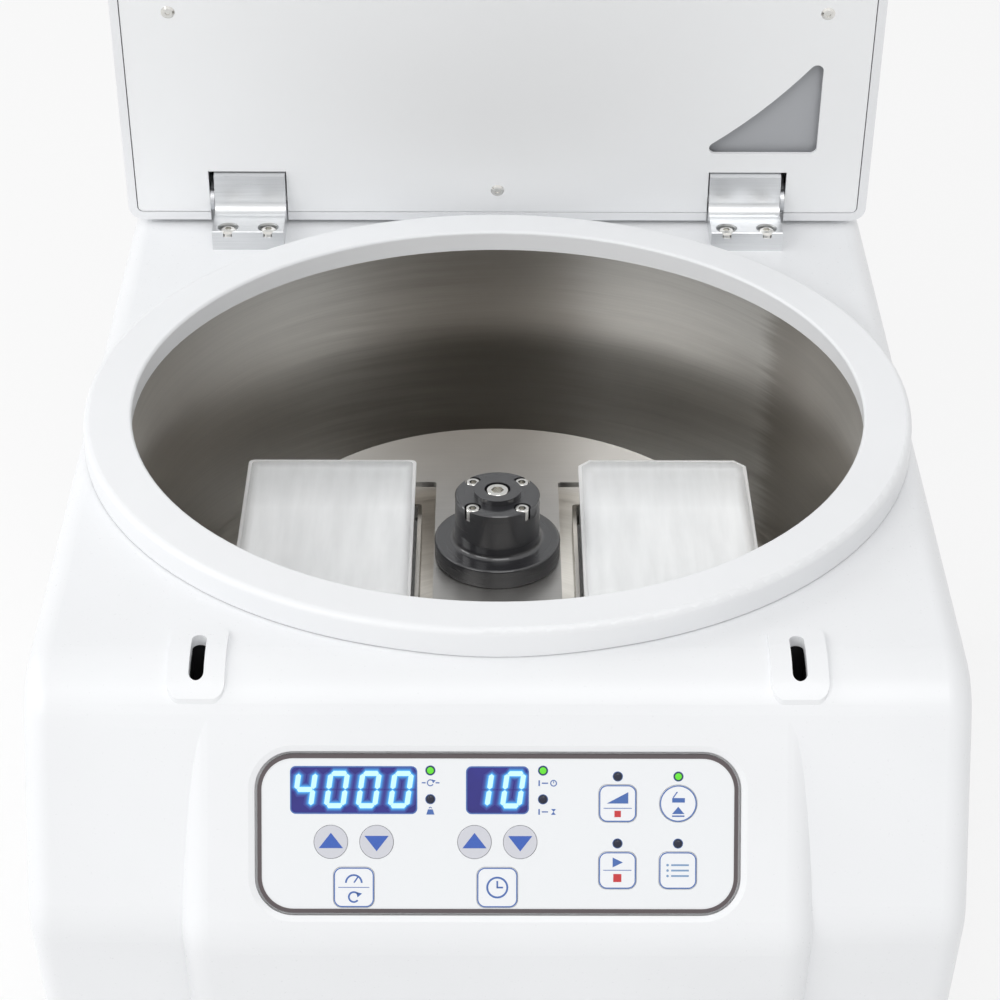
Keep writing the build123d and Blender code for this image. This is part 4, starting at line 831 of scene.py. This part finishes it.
@dataclass
class Studio:
    """Camera, lights, floor and surroundings. Angles are in radians, the place in millimetres."""

    focal_px: float = 2750.0
    frame_px: float = 1000.0
    sensor: float = 36.0
    pitch: float = 0.561246954688388
    roll: float = 0.0038363383835916917
    yaw: float = -0.0036955589841724686
    place: Place = (-2.9582767, -1137.2459, 965.98699)
    lights: tuple[SoftLight, ...] = (
        SoftLight("key_light", (-1.9, -1.9, 2.1), (0, 0, 0.3), 1.5, 19.2),
        SoftLight("high_light", (0.3, -1.5, 2.3), (0, 0, 0.4), 1.4, 14.2),
        SoftLight("side_light", (-2.6, 0.2, 1.5), (0, 0, 0.3), 1.2, 18.5),
    )

    def build(self) -> None:
        """Make the whole studio."""
        self.camera()
        self.floor()
        for light in self.lights:
            light.build()
        self.world()

    def camera(self) -> None:
        """Camera at the photograph's angle."""
        forward = Vector((0, math.cos(self.pitch), -math.sin(self.pitch)))
        level_up = Vector((0, math.sin(self.pitch), math.cos(self.pitch)))
        right = Vector((1, 0, 0)) * math.cos(self.roll) + level_up * math.sin(self.roll)
        up = level_up * math.cos(self.roll) - Vector((1, 0, 0)) * math.sin(self.roll)
        turn = Matrix.Rotation(self.yaw, 3, "Z")
        right, up, forward = turn @ right, turn @ up, turn @ forward
        data = bpy.data.cameras.new("camera")
        data.sensor_width = self.sensor
        data.lens = self.focal_px * self.sensor / self.frame_px
        data.clip_end = 30.0
        cam = bpy.data.objects.new("camera", data)
        cam.matrix_world = axes_matrix(right, up, -forward, self.place)
        bpy.context.scene.collection.objects.link(cam)
        bpy.context.scene.camera = cam

    def floor(self) -> None:
        """Plain pale floor, with a glow that only camera, glossy and transmitted rays see."""
        bm = bmesh.new()
        bmesh.ops.create_grid(bm, x_segments=1, y_segments=1, size=FLOOR_HALF)
        mesh = bpy.data.meshes.new("floor")
        bm.to_mesh(mesh)
        bm.free()
        floor = bpy.data.objects.new("floor", mesh)
        bpy.context.scene.collection.objects.link(floor)
        r = Recipe("floor")
        r.set(Base_Color=(0.93, 0.93, 0.93), Roughness=0.9)
        path = r.nodes.new("ShaderNodeLightPath")
        seen = r.sum(path.outputs["Is Camera Ray"], path.outputs["Is Glossy Ray"], "MAXIMUM")
        seen = r.sum(seen, path.outputs["Is Transmission Ray"], "MAXIMUM")
        glow = r.nodes.new("ShaderNodeEmission")
        glow.inputs["Color"].default_value = (1, 1, 1, 1)
        blend = r.nodes.new("ShaderNodeMixShader")
        r.links.new(r.span(seen, 0, 1, 0, FLOOR_GLOW), blend.inputs[0])
        r.links.new(r.bsdf.outputs[0], blend.inputs[1])
        r.links.new(glow.outputs[0], blend.inputs[2])
        r.links.new(blend.outputs[0], r.out.inputs[0])
        mesh.materials.append(r.material)

    def world(self) -> None:
        """White surroundings that light the object softly."""
        world = bpy.data.worlds.new("studio")
        bpy.context.scene.world = world
        world.use_nodes = True
        nodes, links = world.node_tree.nodes, world.node_tree.links
        nodes.clear()
        out = nodes.new("ShaderNodeOutputWorld")
        back = nodes.new("ShaderNodeBackground")
        path = nodes.new("ShaderNodeLightPath")
        seen = path.outputs["Is Camera Ray"]
        for ray in ("Is Glossy Ray", "Is Transmission Ray"):
            either = nodes.new("ShaderNodeMath")
            either.operation = "MAXIMUM"
            links.new(seen, either.inputs[0])
            links.new(path.outputs[ray], either.inputs[1])
            seen = either.outputs[0]
        level = nodes.new("ShaderNodeMapRange")
        level.inputs["To Min"].default_value = WORLD_LEVEL
        level.inputs["To Max"].default_value = 1.0
        links.new(seen, level.inputs["Value"])
        links.new(level.outputs[0], back.inputs["Strength"])
        back.inputs["Color"].default_value = (1, 1, 1, 1)
        links.new(back.outputs[0], out.inputs["Surface"])


# Plates and their films


def window_material() -> Material:
    """Deep blue display window, faintly lit all over."""
    r = Recipe("display_window")
    haze = r.noise(r.place, 60.0, 2.0)
    r.feed("Emission Color", r.mix(r.span(haze, 0.3, 0.7), (0.010, 0.008, 0.12), (0.016, 0.014, 0.19)))
    r.set(Base_Color=(0.01, 0.01, 0.06), Emission_Strength=1.0, Roughness=0.2)
    return r.material


def plate_material() -> Material:
    """Milky natural plastic that lets light soak through its thin walls."""
    r = Recipe("natural_plastic")
    cloud = r.noise(r.place, 40.0, 3.0)
    r.feed("Base Color", r.mix(r.span(cloud, 0.3, 0.7), (0.90, 0.92, 0.93), (0.95, 0.96, 0.965)))
    r.bump(r.noise(r.place, 700.0, 2.0), 0.00002, 0.3)
    r.set(Roughness=0.38, IOR=1.49)
    r.set(Subsurface_Weight=1.0, Subsurface_Scale=0.006, Subsurface_Radius=(1.0, 1.0, 1.0))
    return r.material


def film_material() -> Material:
    """Frosted sealing film that lets the wells show through more towards the back."""
    r = Recipe("frosted_film")
    _, y, _ = r.split(r.place)
    frost = r.noise(r.mapped((160.0, 18.0, 1.0)), 1.0, 3.0)
    haze = r.noise(r.place, 30.0, 2.0)
    r.feed("Base Color", r.mix(r.span(haze, 0.3, 0.7), (0.92, 0.935, 0.94), (0.95, 0.96, 0.965)))
    cover = r.sum(r.span(y, 0.018, 0.052, 0.93, 0.56), r.span(frost, 0.3, 0.7, -0.05, 0.05))
    r.feed("Alpha", cover)
    r.bump(r.noise(r.place, 900.0, 2.0), 0.00001, 0.3)
    r.set(Roughness=0.32, IOR=1.45)
    return r.material


@dataclass
class PlateSeals:
    """Thin film sealed over the wells of each plate, pressed down a little at every well."""

    centre: float = 84.0
    top: float = 235.0
    lift: float = 0.16
    width: float = 82.0
    length: float = 124.2
    thick: float = 0.12
    sag: float = 0.10
    pitch: float = 9.0
    rows: int = 12
    columns: int = 8
    steps: int = 4
    corner: float = 2.2
    clip: float = 4.4

    def build(self, film: Material) -> None:
        """Make both films."""
        self.seal("plate_film_left", -self.centre, "left_plate", film, False)
        self.seal("plate_film_right", self.centre, "right_plate", film, True)

    def seal(self, name: str, x: float, body: str, film: Material, clipped: bool) -> None:
        """One film with its corners rounded, or cut where the plate's are.

        Args:
            name: Name of the piece.
            x: Middle of the plate.
            body: The body that carries it.
            film: Its material.
            clipped: Whether its two back corners are cut.
        """
        bm = bmesh.new()
        steps_x, steps_y = self.steps * self.columns, self.steps * self.rows
        bmesh.ops.create_grid(bm, x_segments=steps_x, y_segments=steps_y, size=0.5)
        inner_w, inner_l = self.pitch * self.columns, self.pitch * self.rows
        bmesh.ops.scale(bm, verts=bm.verts, vec=(inner_w, inner_l, 1.0))
        for vert in bm.verts:
            u = (vert.co.x / self.pitch) % 1.0
            v = (vert.co.y / self.pitch) % 1.0
            vert.co.z = -self.sag * math.sin(math.pi * u) ** 2 * math.sin(math.pi * v) ** 2
        rim = [e for e in bm.edges if e.is_boundary]
        grown = bmesh.ops.extrude_edge_only(bm, edges=rim)
        outer = [g for g in grown["geom"] if isinstance(g, bmesh.types.BMVert)]
        bmesh.ops.scale(bm, verts=outer, vec=(self.width / inner_w, self.length / inner_l, 1.0))
        for vert in outer:
            self.trim(vert, clipped)
        bmesh.ops.recalc_face_normals(bm, faces=bm.faces)
        if sum(f.normal.z for f in bm.faces) < 0:
            bmesh.ops.reverse_faces(bm, faces=bm.faces)
        bmesh.ops.solidify(bm, geom=bm.faces[:], thickness=-self.thick)
        place = Matrix.Scale(MM, 4) @ Matrix.Translation((x, 0, self.top + self.lift))
        obj = finish_mesh(bm, name, place, film, body)
        obj.data.shade_smooth()

    def trim(self, vert: bmesh.types.BMVert, clipped: bool) -> None:
        """Pull one rim point in to the rounded or cut corner."""
        w, l = self.width / 2, self.length / 2
        ax, ay = abs(vert.co.x), abs(vert.co.y)
        if clipped and vert.co.y > 0:
            over = (ax - (w - self.clip)) + (ay - (l - self.clip)) - self.clip
            if over > 0:
                ax, ay = ax - over / 2, ay - over / 2
        else:
            dx, dy = ax - (w - self.corner), ay - (l - self.corner)
            if dx > 0 and dy > 0:
                fit = self.corner / math.hypot(dx, dy)
                if fit < 1:
                    ax, ay = w - self.corner + dx * fit, l - self.corner + dy * fit
        vert.co.x = math.copysign(ax, vert.co.x)
        vert.co.y = math.copysign(ay, vert.co.y)


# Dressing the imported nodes


@dataclass
class Dresser:
    """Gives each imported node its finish."""

    nodes: dict[str, bpy.types.Object]

    def wear(self, material: Material, *names: str) -> None:
        """Put one material on the named nodes."""
        for name in names:
            obj = self.nodes[name]
            obj.data.materials.clear()
            obj.data.materials.append(material)
            LOG.info("node %s wears %s", name, material.name)

    def build(self) -> None:
        """Dress every node."""
        self.casing()
        self.metals()
        self.dark_plastics()
        self.panel()
        board = Moulded("board_green", (0.02, 0.13, 0.06), rough=0.35)
        self.wear(board.build(), "control_board", "drive_board")
        self.wear(plate_material(), "well_plate_left", "well_plate_right")

    def casing(self) -> None:
        """White mouldings and painted sheets."""
        self.wear(Moulded("housing_white", WHITE).build(), "housing")
        self.wear(Moulded("lid_white", WHITE).build(), "lid_shell")
        self.wear(Moulded("ring_white", WHITE, rough=0.34).build(), "chamber_ring")
        self.wear(Coated("liner_white", (0.92, 0.93, 0.94)).build(), "lid_liner")
        self.wear(Coated("plate_grey", (0.42, 0.43, 0.45)).build(), "lid_stiffener")
        self.wear(Coated("pan_grey", (0.55, 0.56, 0.58)).build(), "base_pan", "rear_panel")

    def metals(self) -> None:
        """Bowl, rotor, hinges, fasteners and drive."""
        self.wear(SpunSteel("bowl_steel").build(), "bowl")
        yoke = Metal("yoke_aluminium", (0.50, 0.49, 0.475), 0.36, Grain.ALONG_X)
        self.wear(yoke.build(), "rotor_yoke", "shaft_collar")
        hinge = Metal("hinge_aluminium", (0.74, 0.75, 0.76), 0.32, Grain.ALONG_X, lines=1600)
        self.wear(hinge.build(), "hinge_arm_left", "hinge_arm_right")
        hub = Metal(
            "hub_black", (0.012, 0.012, 0.015), 0.3, Grain.ROUND_Z, metallic=0.0, cloud=0.2, coat=1.0
        )
        self.wear(hub.build(), "rotor_hub", "rotor_cap")
        bright = Metal("bright_steel", (0.72, 0.71, 0.68), 0.2).build()
        self.wear(bright, "hinge_pins", "hinge_screws", "lid_screws", "strikers")
        self.wear(bright, "cap_screws", "rotor_bolt", "trunnion_pins")
        carrier = Metal("carrier_steel", (0.70, 0.68, 0.64), 0.24, Grain.ALONG_Y)
        self.wear(carrier.build(), "carrier_left", "carrier_right")
        self.wear(Metal("shaft_steel", (0.5, 0.5, 0.5), 0.25, Grain.ROUND_Z).build(), "motor_shaft")
        zinc = Metal("zinc_steel", (0.6, 0.61, 0.63), 0.4).build()
        self.wear(zinc, "lid_bracket_left", "lid_bracket_right", "rear_screws", "motor_plate", "lock_bar")
        cast = Metal("cast_motor", (0.3, 0.31, 0.33), 0.5, lines=500.0, depth=0.00005)
        self.wear(cast.build(), "motor_housing")
        brass = Metal("brass", (0.7, 0.5, 0.22), 0.3)
        self.wear(brass.build(), "board_standoffs", "drive_board_standoffs")

    def dark_plastics(self) -> None:
        """Lock, inlet, rocker and rubber pieces."""
        black = Moulded("black_plastic", (0.02, 0.02, 0.022), rough=0.4).build()
        self.wear(black, "lock_housing_left", "lock_housing_right", "lock_actuator")
        self.wear(black, "rocker_frame", "mains_inlet")
        self.wear(Moulded("rocker_black", (0.03, 0.03, 0.033), rough=0.3).build(), "power_rocker")
        rubber = Moulded("rubber_black", (0.025, 0.025, 0.027), rough=0.75, skin=0.00008)
        self.wear(rubber.build(), "rubber_feet", "shaft_boot", "motor_mounts")

    def panel(self) -> None:
        """Bezel, overlay, keys, display windows and lamp bodies."""
        self.wear(Moulded("bezel_brown", linear("5A5254"), rough=0.35).build(), "panel_bezel")
        overlay = Moulded(
            "overlay_film", linear("EDEFF1"), shade=0.99, rough=0.32, skin=0.00001, skin_scale=1600.0
        )
        self.wear(overlay.build(), "panel_overlay")
        white = Moulded("key_film", linear("EEF0F3"), shade=0.99, rough=0.3, skin=0.00001).build()
        self.wear(white, "key_speed", "key_time", "key_soft_start")
        self.wear(white, "key_start_stop", "key_program", "key_lid_release")
        grey = Moulded("key_grey", linear("D0D1D8"), shade=0.99, rough=0.32, skin=0.00001).build()
        self.wear(grey, "key_speed_up", "key_speed_down", "key_time_up", "key_time_down")
        self.wear(window_material(), "speed_display", "time_display")
        self.wear(Moulded("lamp_body", (0.02, 0.03, 0.06), rough=0.25).build(), "indicator_leds")


def inks() -> Inks:
    """Printing inks and lit colours by name."""
    out = {
        "blue": Printed("ink_blue", linear("4A6DB0")).build(),
        "arrow": Printed("ink_arrow", linear("3D62B8")).build(),
        "red": Printed("ink_red", linear("C8383C")).build(),
        "pale": Printed("ink_pale", linear("7FA0C4")).build(),
        "core": Glow("digit_core", (0.62, 1.0, 1.0), 1.0).build(),
        "lit": Glow("lamp_green", (0.10, 0.55, 0.02), 0.9, (0.05, 0.3, 0.02)).build(),
        "dark": Moulded("lamp_dark", (0.012, 0.014, 0.035), rough=0.2).build(),
    }
    near, far = (0.05, 0.45, 1.0), (0.012, 0.014, 0.22)
    last = len(GLOW_STEPS) - 1
    for n in range(len(GLOW_STEPS)):
        share = (n / last) ** 1.6
        tone = tuple(a + (b - a) * share for a, b in zip(far, near))
        out[f"glow_{n}"] = Glow(f"digit_glow_{n}", (tone[0], tone[1], tone[2])).build()
    return out


def main(frame: dict[str, object]) -> None:
    """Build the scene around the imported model."""
    logging.basicConfig(level=logging.INFO)
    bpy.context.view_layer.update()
    bpy.context.scene.view_settings.view_transform = "Standard"
    Studio().build()
    Dresser(frame["nodes"]).build()
    ControlPanel().build(inks())
    PlateSeals().build(film_material())


if __name__ == "__main__":
    main(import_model())
